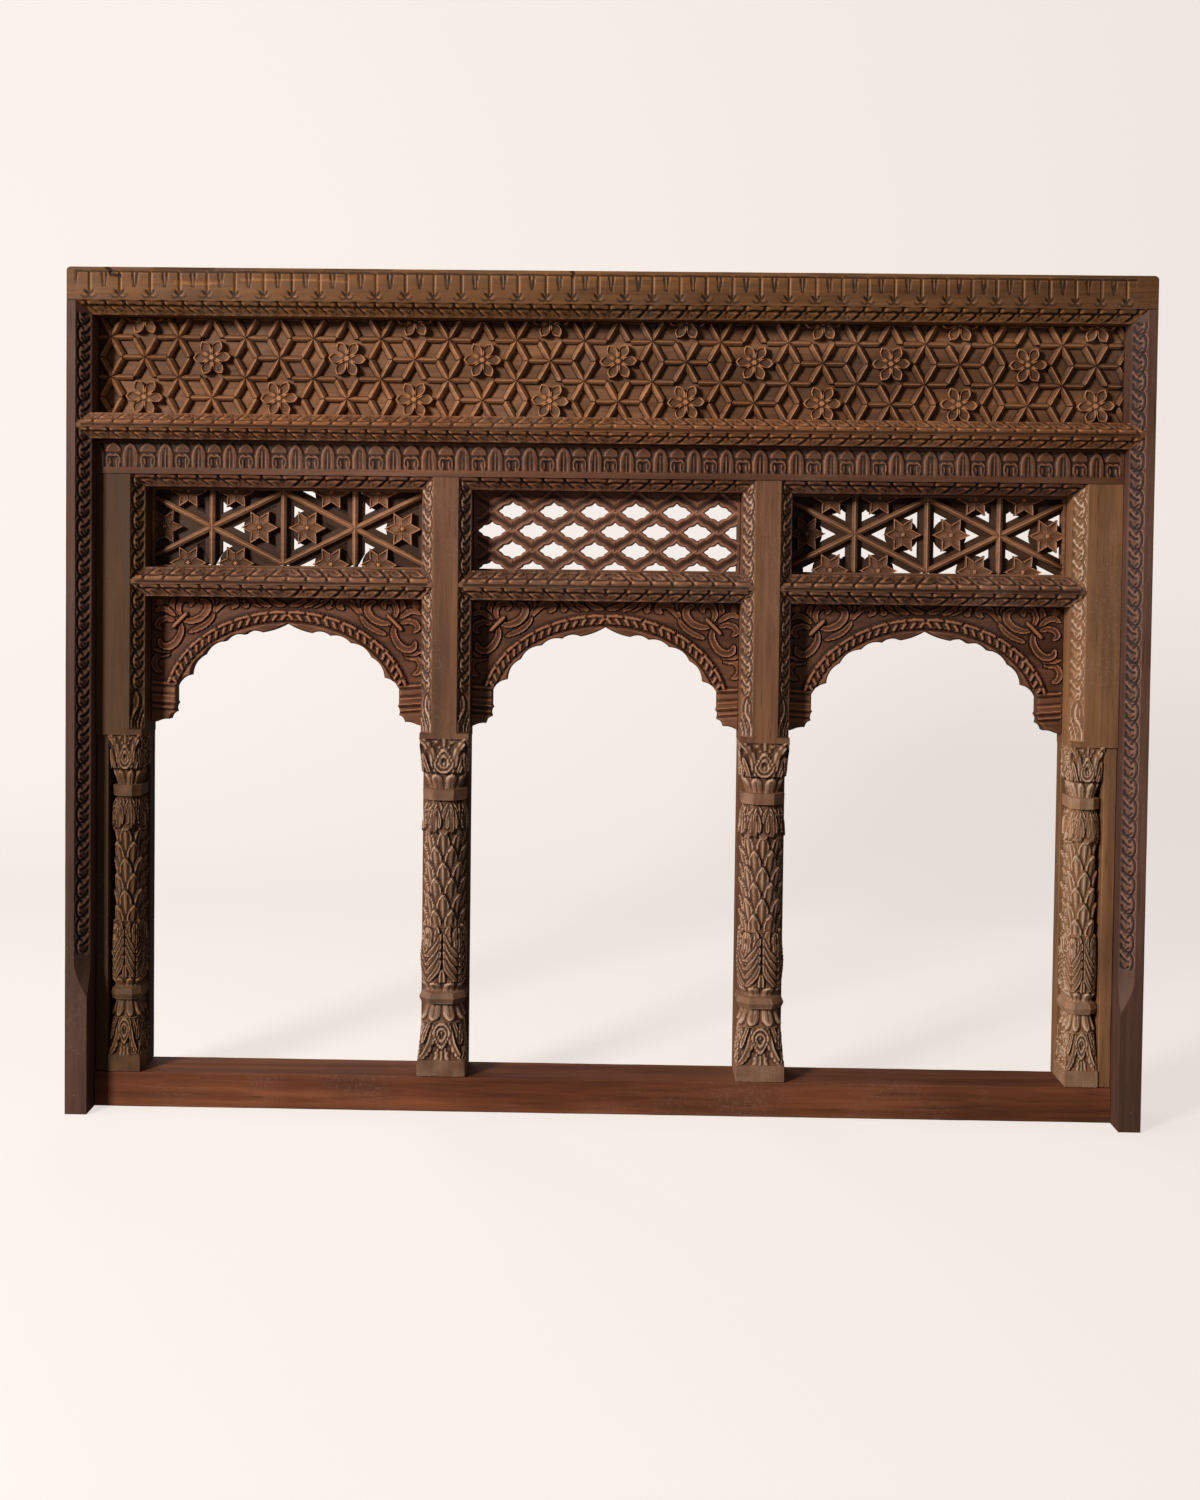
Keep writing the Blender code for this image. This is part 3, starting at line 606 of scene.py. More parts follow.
@dataclass
class Beam:
    """A straight beam: a section swept along X or Z, with carved facets and cut ends.

    Attributes:
        axis: The way it runs. The section is (depth, z) for X and (x, depth) for Z.
        facets: The section's sides in order.
        stations: The places along the axis.
        low: The lower end as a function of the section's point.
        high: The upper end.
        caps_low: The flat faces of the lower end, as runs of corners; one if empty.
        caps_high: The flat faces of the upper end.
        side: Left for a beam that is mirrored in x.
    """

    axis: Axis
    facets: list[Facet]
    stations: Array
    low: Limit
    high: Limit
    caps_low: tuple[tuple[int, ...], ...] = ()
    caps_high: tuple[tuple[int, ...], ...] = ()
    side: Side = Side.RIGHT

    def place(self, section: Array, along: Array) -> Array:
        """Puts section points and places along the axis together as places.

        Args:
            section: Points of shape (..., 2).
            along: Places along the axis, of the same leading shape.

        Returns:
            Points of shape (..., 3).
        """
        out = np.zeros((*along.shape, 3))
        first, second, third = self.axis.value
        out[..., first] = section[..., 0]
        out[..., second] = section[..., 1]
        out[..., third] = along
        out[..., 0] *= self.side.value
        return out

    def corner(self, index: int) -> Array:
        """A corner of the section at every station."""
        value = np.array(self.facets[index % len(self.facets)].corner, dtype=float)
        return np.broadcast_to(value, (len(self.stations), 2))

    def add_to(self, skin: Skin) -> None:
        """Adds the beam's sides and ends to a skin."""
        count = len(self.facets)
        rims: list[tuple[Array, Array]] = []
        for index, facet in enumerate(self.facets):
            start, end = self.corner(index), self.corner(index + 1)
            t = np.linspace(0, 1, facet.steps + 1)[:, None]
            section = start + (end - start) * t[..., None]
            low, high = (limit(*np.moveaxis(section, -1, 0)) for limit in (self.low, self.high))
            along = np.clip(self.stations[None, :], low, high)
            clear = np.minimum(along - low, high - along)
            width = np.hypot(*(end - start).T)
            numbers = self.band_numbers(facet, t, along, width, clear)
            numbers["carve"] = np.zeros(along.shape)
            middle = np.mean([self.corner(i)[0] for i in range(count)], axis=0)
            inward = (end - start)[:, ::-1] * (-1, 1) / np.maximum(width, 1e-9)[:, None]
            inward *= np.sign(np.sum(inward * (middle - start), axis=-1))[:, None]
            for mark in facet.marks:
                far, _ = path_distance(along, t * width + 0 * along, smooth_path(mark.points))
                share = held(1 - far / mark.half) * held(np.minimum(t, 1 - t) * width / 1.5)
                section = section + inward * (mark.depth * share)[..., None]
                numbers["carve"] += mark.age * held(2.5 * share)
            points = self.place(section, along)
            skin.grid(points, **numbers)
            rims.append((points[:, 0], points[:, -1]))
        for which, caps in ((0, self.caps_low), (1, self.caps_high)):
            for cap in caps or ((*range(count), 0),):
                skin.face(self.chain([rim[which] for rim in rims], cap))

    @staticmethod
    def chain(rims: list[Array], corners: tuple[int, ...]) -> Array:
        """The rim points from corner to corner; a jump between corners is straight.

        Args:
            rims: The end points of each facet.
            corners: Corner numbers in order.

        Returns:
            The points of one end face.
        """
        points: list[Array] = []
        count = len(rims)
        for here, after in zip(corners, corners[1:]):
            follows = (here + 1) % count == after % count
            points += list(rims[here % count][:-1]) if follows else [rims[here % count][0]]
        if corners[0] % count != corners[-1] % count:
            points.append(rims[corners[-1] % count][0])
        return np.array(points)

    @staticmethod
    def band_numbers(
        facet: Facet, t: Array, along: Array, width: Array, clear: Array
    ) -> dict[str, Array]:
        """Works out the carving numbers of one facet.

        Args:
            facet: The facet.
            t: The share of the facet's width at each row.
            along: Places along the axis.
            width: The facet's width at each station.
            clear: How far each place is from the beam's ends.

        Returns:
            The keyword arguments for Skin.grid.
        """
        flat = np.zeros(along.shape)
        numbers = {"along": flat, "across": flat + t, "reach": flat, "motif": flat.astype(int)}
        for band in facet.bands:
            inside = (along >= band.start) & (along <= band.stop)
            distance = along - band.origin
            distance = np.abs(distance) if band.mirror else distance
            repeats = distance / band.pitch
            repeats = repeats + 0.05 * np.sin(distance / 83) + 0.03 * np.sin(distance / 31 + 1)
            repeats = repeats + band.drift * (distance / 1000) ** 2
            room = np.maximum(width - sum(band.edges), 1e-6)
            across = ((1 - t if band.turned else t) * width - band.edges[0]) / room
            edge = np.minimum(across, 1 - across) * room / 0.8
            ends = np.minimum(along - band.start, band.stop - along) / 2.5
            values = {
                "along": repeats, "across": np.clip(across, 0, 0.999),
                "reach": eased(edge) * eased(ends) * eased(clear / 2.5),
                "motif": band.motif.value,
            }
            for name, value in values.items():
                numbers[name] = np.where(inside, value, numbers[name])
        return numbers


def flat_end(place: float) -> Limit:
    """A beam's end that is cut square at a place."""
    return lambda first, second: np.full_like(first, place)


def swept(axis: Axis, facets: list[Facet], *rest: object, **options: object) -> Skin:
    """The skin of one beam, from what Beam takes."""
    skin = Skin()
    Beam(axis, facets, *rest, **options).add_to(skin)
    return skin


class Tree:
    """A node tree with short calls for adding, setting and linking nodes."""

    def __init__(self, tree: NodeTree) -> None:
        """Wraps a node tree."""
        self.tree = tree
        self.group_in: bpy.types.Node | None = None
        self.group_out: bpy.types.Node | None = None

    @classmethod
    def group(cls, name: str, kind: str, inputs: dict, outputs: dict) -> Tree:
        """Makes a node group.

        Args:
            name: The group's name.
            kind: The tree's type.
            inputs: Socket types, or (type, default), by name.
            outputs: Socket types by name.

        Returns:
            The tree, with its group input and output nodes in place.
        """
        tree = cls(bpy.data.node_groups.new(name, kind))
        for way, sockets in (("INPUT", inputs), ("OUTPUT", outputs)):
            for label, value in sockets.items():
                socket_kind, *default = value if isinstance(value, tuple) else (value,)
                socket = tree.tree.interface.new_socket(
                    label, in_out=way, socket_type="NodeSocket" + socket_kind
                )
                if default:
                    socket.default_value = default[0]
        tree.group_in = tree.tree.nodes.new("NodeGroupInput")
        tree.group_out = tree.tree.nodes.new("NodeGroupOutput")
        return tree

    @classmethod
    def material(cls, name: str) -> tuple[bpy.types.Material, Tree]:
        """Makes a material, with its empty tree."""
        material = bpy.data.materials.new(name)
        material.use_nodes = True
        material.node_tree.nodes.clear()
        return material, cls(material.node_tree)

    def finish(self, shader: bpy.types.Node) -> None:
        """Links a shader to the material's output."""
        out = self.add("ShaderNodeOutputMaterial")
        self.tree.links.new(shader.outputs[0], out.inputs[0])

    def given(self, name: str) -> Socket:
        """A socket of the group's inputs."""
        return self.group_in.outputs[name]

    def give(self, **values: Socket) -> None:
        """Links sockets to the group's outputs, with spaces written as underscores."""
        for name, value in values.items():
            self.tree.links.new(value, self.group_out.inputs[name.replace("_", " ")])

    def add(self, kind: str, settings: dict | None = None, **values: object) -> bpy.types.Node:
        """Adds a node.

        Args:
            kind: The node's type.
            settings: Its properties.
            values: Sockets or constants for its inputs, with spaces as underscores.

        Returns:
            The node.
        """
        node = self.tree.nodes.new(kind)
        for key, value in (settings or {}).items():
            setattr(node, key, value)
        for name, value in values.items():
            self.feed(node, name.replace("_", " "), value)
        return node

    def feed(self, node: bpy.types.Node, name: str | int, value: object) -> None:
        """Gives an input of a node a constant or links a socket to it.

        Args:
            node: The node.
            name: The input's name or number.
            value: A socket or a constant.
        """
        if isinstance(name, str):
            slot = next(s for s in node.inputs if s.name == name and s.enabled)
        else:
            slot = node.inputs[name]
        if isinstance(value, Socket):
            self.tree.links.new(value, slot)
        else:
            slot.default_value = value

    def math(self, operation: str, *values: Socket | float, clamp: bool = False) -> Socket:
        """Adds a Math node.

        Args:
            operation: The operation.
            values: Its operands.
            clamp: Whether the result is kept between 0 and 1.

        Returns:
            The result.
        """
        node = self.add("ShaderNodeMath", {"operation": operation, "use_clamp": clamp})
        for index, value in enumerate(values):
            self.feed(node, index, value)
        return node.outputs[0]

    def times(self, a: Socket | float, b: Socket | float) -> Socket:
        """Multiplies two numbers."""
        return self.math("MULTIPLY", a, b)

    def plus(self, a: Socket | float, b: Socket | float) -> Socket:
        """Adds two numbers."""
        return self.math("ADD", a, b)

    def scaled(self, vector: Socket, amount: Socket) -> Socket:
        """Adds a Vector Math node that makes a vector longer or shorter."""
        node = self.add("ShaderNodeVectorMath", {"operation": "SCALE"}, Scale=amount)
        self.feed(node, 0, vector)
        return node.outputs[0]

    def named(self, name: str, kind: str = "FLOAT") -> Socket:
        """Adds a Named Attribute node and returns its value."""
        node = self.add("GeometryNodeInputNamedAttribute", {"data_type": kind}, Name=name)
        return node.outputs[0]

    def ramp(self, value: Socket, low: float, high: float) -> Socket:
        """Maps low..high to 0..1 with soft ends."""
        node = self.add("ShaderNodeMapRange", {"interpolation_type": "SMOOTHSTEP"})
        self.feed(node, "Value", value)
        self.feed(node, "From Min", low)
        self.feed(node, "From Max", high)
        return node.outputs[0]

    def noise(
        self, vector: Socket, scale: Socket | float, detail: float = 2.0, bend: float = 0.0
    ) -> Socket:
        """Adds a Noise Texture.

        Args:
            vector: Where it is read.
            scale: Its scale.
            detail: Its octaves.
            bend: Its distortion.

        Returns:
            The noise, around 0.5.
        """
        node = self.add("ShaderNodeTexNoise", Vector=vector, Scale=scale, Detail=detail)
        self.feed(node, "Distortion", bend)
        return node.outputs[0]

    def mix(self, factor: Socket | float, a: object, b: object, blend: str = "MIX") -> Socket:
        """Mixes two colours.

        Args:
            factor: How much of the second.
            a: The first colour.
            b: The second colour.
            blend: The way they mix.

        Returns:
            The mixed colour.
        """
        node = self.add("ShaderNodeMix", {"data_type": "RGBA", "blend_type": blend})
        for index, value in ((0, factor), (6, a), (7, b)):
            self.feed(node, index, value)
        return node.outputs[2]


GEOMETRY = "GeometryNodeTree"
SHADER = "ShaderNodeTree"


class Trees:
    """The Geometry Nodes trees that carve, set out and finish the pieces."""

    def __init__(self) -> None:
        """Builds each tree once."""
        self.carving = self.carving_tree()
        self.setting = self.setting_tree()
        self.finishing = self.finishing_tree()

    @staticmethod
    def close(tree: Tree, geometry: Socket) -> None:
        """Ends a tree in Realize Instances and Set Material."""
        real = tree.add("GeometryNodeRealizeInstances", Geometry=geometry)
        wood = tree.given("Material")
        last = tree.add("GeometryNodeSetMaterial", Geometry=real.outputs[0], Material=wood)
        tree.give(Geometry=last.outputs[0])

    def carving_tree(self) -> NodeTree:
        """Stamps a tile of relief over and over, along and across a surface."""
        inputs = {
            "Geometry": "Geometry", "Tile": "Object", "Motif": ("Int", 0),
            "Tile Length": ("Float", 0.03), "Tile Width": ("Float", 0.03), "Material": "Material",
        }
        tree = Tree.group("repeat_carving", GEOMETRY, inputs, {"Geometry": "Geometry"})
        named = {name: tree.named(name) for name in Skin.NUMBERS}
        how = {"data_type": "INT", "operation": "EQUAL"}
        motif = tree.named("motif", "INT")
        chosen = tree.add("FunctionNodeCompare", how, A=motif, B=tree.given("Motif"))
        u = tree.times(tree.math("FRACT", named["along"]), tree.given("Tile Length"))
        v = tree.times(tree.math("FRACT", named["across"]), tree.given("Tile Width"))
        spot = tree.add("ShaderNodeCombineXYZ", X=u, Y=v, Z=0.5)
        tile = tree.add("GeometryNodeObjectInfo", Object=tree.given("Tile"))
        ray = tree.add(
            "GeometryNodeRaycast", {"data_type": "FLOAT", "mapping": "INTERPOLATED"},
            Target_Geometry=tile.outputs["Geometry"], Attribute=named["carve"],
            Source_Position=spot.outputs[0], Ray_Direction=(0, 0, -1), Ray_Length=1.0,
        )
        hit = tree.add("ShaderNodeSeparateXYZ", Vector=ray.outputs["Hit Position"])
        height = tree.times(hit.outputs["Z"], named["reach"])
        normal = tree.add("GeometryNodeInputNormal")
        offset = tree.scaled(normal.outputs[0], height)
        # The carve attribute: wear on raised places, painted shade in hollows.
        worn = tree.times(ray.outputs["Attribute"], named["reach"])
        worn = tree.plus(worn, named["carve"])
        store = tree.add(
            "GeometryNodeStoreNamedAttribute", {"data_type": "FLOAT", "domain": "POINT"},
            Geometry=tree.given("Geometry"), Selection=chosen.outputs[0], Name="carve",
            Value=worn,
        )
        move = tree.add(
            "GeometryNodeSetPosition", Geometry=store.outputs[0], Selection=chosen.outputs[0],
            Offset=offset,
        )
        self.close(tree, move.outputs[0])
        return tree.tree

    def setting_tree(self) -> NodeTree:
        """Sets a carved member out on the points of another mesh, turned by each."""
        inputs = {"Geometry": "Geometry", "Member": "Object", "Material": "Material"}
        tree = Tree.group("set_out_on_lattice", GEOMETRY, inputs, {"Geometry": "Geometry"})
        euler = tree.add("ShaderNodeCombineXYZ", X=0.0, Y=tree.named("turn"), Z=0.0)
        rotation = tree.add("FunctionNodeEulerToRotation", Euler=euler.outputs[0])
        member = tree.add("GeometryNodeObjectInfo", Object=tree.given("Member"))
        places = tree.add(
            "GeometryNodeInstanceOnPoints", Points=tree.given("Geometry"),
            Instance=member.outputs["Geometry"], Rotation=rotation.outputs[0],
        )
        self.close(tree, places.outputs[0])
        return tree.tree

    def finishing_tree(self) -> NodeTree:
        """Takes a little off every surface, unevenly, as hand tools and wear do."""
        inputs = {
            "Geometry": "Geometry", "Depth": ("Float", 0.0005), "Scale": ("Float", 22.0),
            "Material": "Material",
        }
        tree = Tree.group("hand_worked_surface", GEOMETRY, inputs, {"Geometry": "Geometry"})
        place = tree.add("GeometryNodeInputPosition")
        noise = tree.noise(place.outputs[0], tree.given("Scale"), 3.0)
        inward = tree.times(tree.times(noise, tree.given("Depth")), -1.0)
        normal = tree.add("GeometryNodeInputNormal")
        offset = tree.scaled(normal.outputs[0], inward)
        move = tree.add("GeometryNodeSetPosition", Geometry=tree.given("Geometry"), Offset=offset)
        self.close(tree, move.outputs[0])
        return tree.tree

    @staticmethod
    def use(obj: Object, tree: NodeTree, **values: object) -> None:
        """Adds a tree to an object as a modifier, with its inputs set by identifier.

        Args:
            obj: The object.
            tree: The tree.
            values: The inputs' values, with spaces written as underscores.
        """
        modifier = obj.modifiers.new(tree.name, "NODES")
        modifier.node_group = tree
        keys = {item.name: item.identifier for item in tree.interface.items_tree}
        for name, value in values.items():
            modifier[keys[name.replace("_", " ")]] = value


def plain_mesh(obj: Object) -> Mesh:
    """Turns an object's evaluated result into a plain mesh, without the modifiers."""
    evaluated = obj.evaluated_get(bpy.context.evaluated_depsgraph_get())
    mesh = bpy.data.meshes.new_from_object(evaluated)
    obj.modifiers.clear()
    obj.data = mesh
    return mesh


@dataclass(frozen=True)
class Wood:
    """A wood finish.

    Attributes:
        name: The material's name.
        tone: The middle colour of clean wood.
        grain: The way the grain runs.
        red: How far the colour leans to red-brown, from 0 to 1.
        dust: How much pale dust lies on it.
        dark: How dark its hollows are painted, as grime and painted shade.
        wear: How pale its raised edges are.
        figure: How strongly the grain shows.
        shade: How much lighter the wood is painted at the right end of the window than at the left,
            as painted light and shade across the window.
        pale: How far the raised edges have turned to grey.
    """

    name: str
    tone: tuple[float, float, float]
    grain: Grain
    red: float = 0.3
    dust: float = 0.25
    dark: float = 0.85
    wear: float = 0.5
    figure: float = 0.85
    shade: float = 0.0
    pale: float = 0.0


class Groups:
    """Shader node groups that more than one material shares."""

    def __init__(self) -> None:
        """Builds each group once."""
        self.figure = self.figure_group()
        self.age = self.age_group()

    @staticmethod
    def figure_group() -> NodeTree:
        """Fibres, growth streaks, pores and broad patches of a piece of wood."""
        outputs = {"Streak": "Float", "Fibre": "Float", "Pore": "Float", "Patch": "Float"}
        inputs = {"Vector": "Vector", "Grain Vector": "Vector"}
        tree = Tree.group("wood_figure", SHADER, inputs, outputs)
        grain = tree.given("Grain Vector")
        streak = tree.noise(grain, 14.0, 4.0, 0.7)
        fibre = tree.noise(grain, 150.0, 5.0, 0.1)
        pore = tree.ramp(tree.noise(grain, 330.0), 0.62, 0.72)
        patch = tree.noise(tree.given("Vector"), 4.2, 3.0)
        tree.give(Streak=streak, Fibre=fibre, Pore=pore, Patch=patch)
        return tree.tree

    @staticmethod
    def age_group() -> NodeTree:
        """Masks for hollows darkened by grime and painted shade, worn edges and dust, from how the
        carving stands.
        """
        outputs = {"Hollow": "Float", "Edge": "Float", "Dust": "Float"}
        inputs = {"Vector": "Vector", "Carve": "Float"}
        tree = Tree.group("wood_age", SHADER, inputs, outputs)
        carve = tree.given("Carve")
        break_up = tree.math("SUBTRACT", tree.noise(tree.given("Vector"), 38.0, 4.0), 0.5)
        shifted = tree.plus(carve, tree.times(break_up, 0.35))
        # Hollows: low places darkened, in part as grime and mostly as painted shade.
        hollow = tree.ramp(tree.times(shifted, -1.0), 0.05, 0.75)
        edge = tree.ramp(shifted, 0.06, 0.55)
        settle = tree.ramp(tree.noise(tree.given("Vector"), 7.0, 3.0), 0.45, 0.7)
        grit = tree.ramp(tree.noise(tree.given("Vector"), 210.0), 0.5, 0.68)
        dust = tree.math("MULTIPLY", settle, tree.math("ADD", grit, 0.25), clamp=True)
        tree.give(Hollow=hollow, Edge=edge, Dust=dust)
        return tree.tree


WORN = (0.50, 0.365, 0.265, 1)
HOUSE_DUST = (0.42, 0.33, 0.27, 1)
FINE_LIGHT = (1.12, 1.1, 1.08, 1)
BLOTCHES = ((0.80, 0.76, 0.72, 1), (1.1, 1.1, 1.1, 1))
IRON = (0.20, 0.18, 0.165, 1)
RUST = (0.10, 0.045, 0.022, 1)


def tinted(tone: Sequence[float], value: float, red: float = 0.0) -> tuple:
    """A tone made lighter or darker, and redder if asked.

    Args:
        tone: The colour.
        value: What it is multiplied by.
        red: How much green and blue are held back.

    Returns:
        A colour with alpha.
    """
    r, g, b = (channel * value for channel in tone)
    return (r, g * (1 - 0.25 * red), b * (1 - 0.45 * red), 1.0)


def wood_material(wood: Wood, groups: Groups) -> bpy.types.Material:
    """Builds the material of a wood finish.

    Args:
        wood: The finish.
        groups: The shared node groups.

    Returns:
        The material.
    """
    material, tree = Tree.material(wood.name)
    place = tree.add("ShaderNodeTexCoord").outputs["Object"]
    parts = tree.add("ShaderNodeSeparateXYZ", Vector=place).outputs
    long, wide = wood.grain.value
    along = tree.times(parts[long], 0.055)
    grain = tree.add("ShaderNodeCombineXYZ", X=along, Y=parts["Y"], Z=parts[wide]).outputs[0]
    kind = {"node_tree": groups.figure}
    figure = tree.add("ShaderNodeGroup", kind, Vector=place, Grain_Vector=grain).outputs
    carve = tree.add("ShaderNodeAttribute", {"attribute_name": "carve"}).outputs["Fac"]
    kind = {"node_tree": groups.age}
    age = tree.add("ShaderNodeGroup", kind, Vector=place, Carve=carve).outputs

    streak = tree.ramp(figure["Streak"], 0.32, 0.68)
    fibre = tree.ramp(figure["Fibre"], 0.3, 0.7)
    patch = tree.ramp(figure["Patch"], 0.35, 0.65)
    weak, strong = 1 - 0.42 * wood.figure, 1 + 0.38 * wood.figure
    dark, light = tinted(wood.tone, weak, wood.red), tinted(wood.tone, strong)
    colour = tree.mix(streak, dark, light)
    fine = tree.mix(fibre, tinted((1, 1, 1), 1 - 0.45 * wood.figure), FINE_LIGHT)
    colour = tree.mix(0.75, colour, fine, "MULTIPLY")
    blotch = tree.mix(patch, *BLOTCHES)
    colour = tree.mix(0.8, colour, blotch, "MULTIPLY")
    # Painted light and shade: lighter towards one end of the window, darker towards the other.
    if wood.shade:
        side = tree.ramp(parts["X"], -0.8, 0.8)
        ends = [(1 - wood.shade,) * 3 + (1,), (1 + wood.shade,) * 3 + (1,)]
        colour = tree.mix(1.0, colour, tree.mix(side, *ends), "MULTIPLY")
    pores = tree.times(figure["Pore"], 0.5)
    colour = tree.mix(pores, colour, tinted(wood.tone, 0.35))
    edge = tree.times(age["Edge"], wood.wear)
    share = wood.pale
    bright = zip(tinted(wood.tone, 2.3), WORN)
    colour = tree.mix(edge, colour, tuple(a * (1 - share) + b * share for a, b in bright))
    # Painted shade and grime: the hollows are mixed towards a deep brown.
    hollow = tree.times(age["Hollow"], wood.dark)
    colour = tree.mix(hollow, colour, tinted(wood.tone, 0.11, 0.5))
    dust = tree.times(age["Dust"], wood.dust)
    colour = tree.mix(dust, colour, HOUSE_DUST)

    gloss = tree.times(fibre, 0.16)
    rough = tree.plus(gloss, tree.times(age["Dust"], 0.14))
    rough = tree.plus(rough, tree.times(age["Edge"], -0.08))
    rough = tree.math("ADD", rough, 0.56, clamp=True)
    grooves = tree.times(figure["Pore"], -0.5)
    height = tree.plus(figure["Fibre"], grooves)
    bump = tree.add("ShaderNodeBump", Height=height, Strength=0.55, Distance=0.0006)
    shader = tree.add(
        "ShaderNodeBsdfPrincipled", Base_Color=colour, Roughness=rough, Normal=bump.outputs[0],
        Specular_IOR_Level=0.24,
    )
    tree.finish(shader)
    return material


def iron_material() -> bpy.types.Material:
    """Dull, pitted iron for the nail heads."""
    material, tree = Tree.material("nail_iron")
    place = tree.add("ShaderNodeTexCoord").outputs["Object"]
    rust = tree.ramp(tree.noise(place, 420.0, 4.0), 0.42, 0.62)
    colour = tree.mix(rust, IRON, RUST)
    rough = tree.plus(tree.times(rust, 0.25), 0.5)
    pits = tree.noise(place, 900.0, 3.0)
    bump = tree.add("ShaderNodeBump", Height=pits, Strength=0.6, Distance=0.0004)
    metal = tree.math("SUBTRACT", 0.85, tree.times(rust, 0.7))
    shader = tree.add(
        "ShaderNodeBsdfPrincipled", Base_Color=colour, Roughness=rough, Metallic=metal,
        Normal=bump.outputs[0],
    )
    tree.finish(shader)
    return material


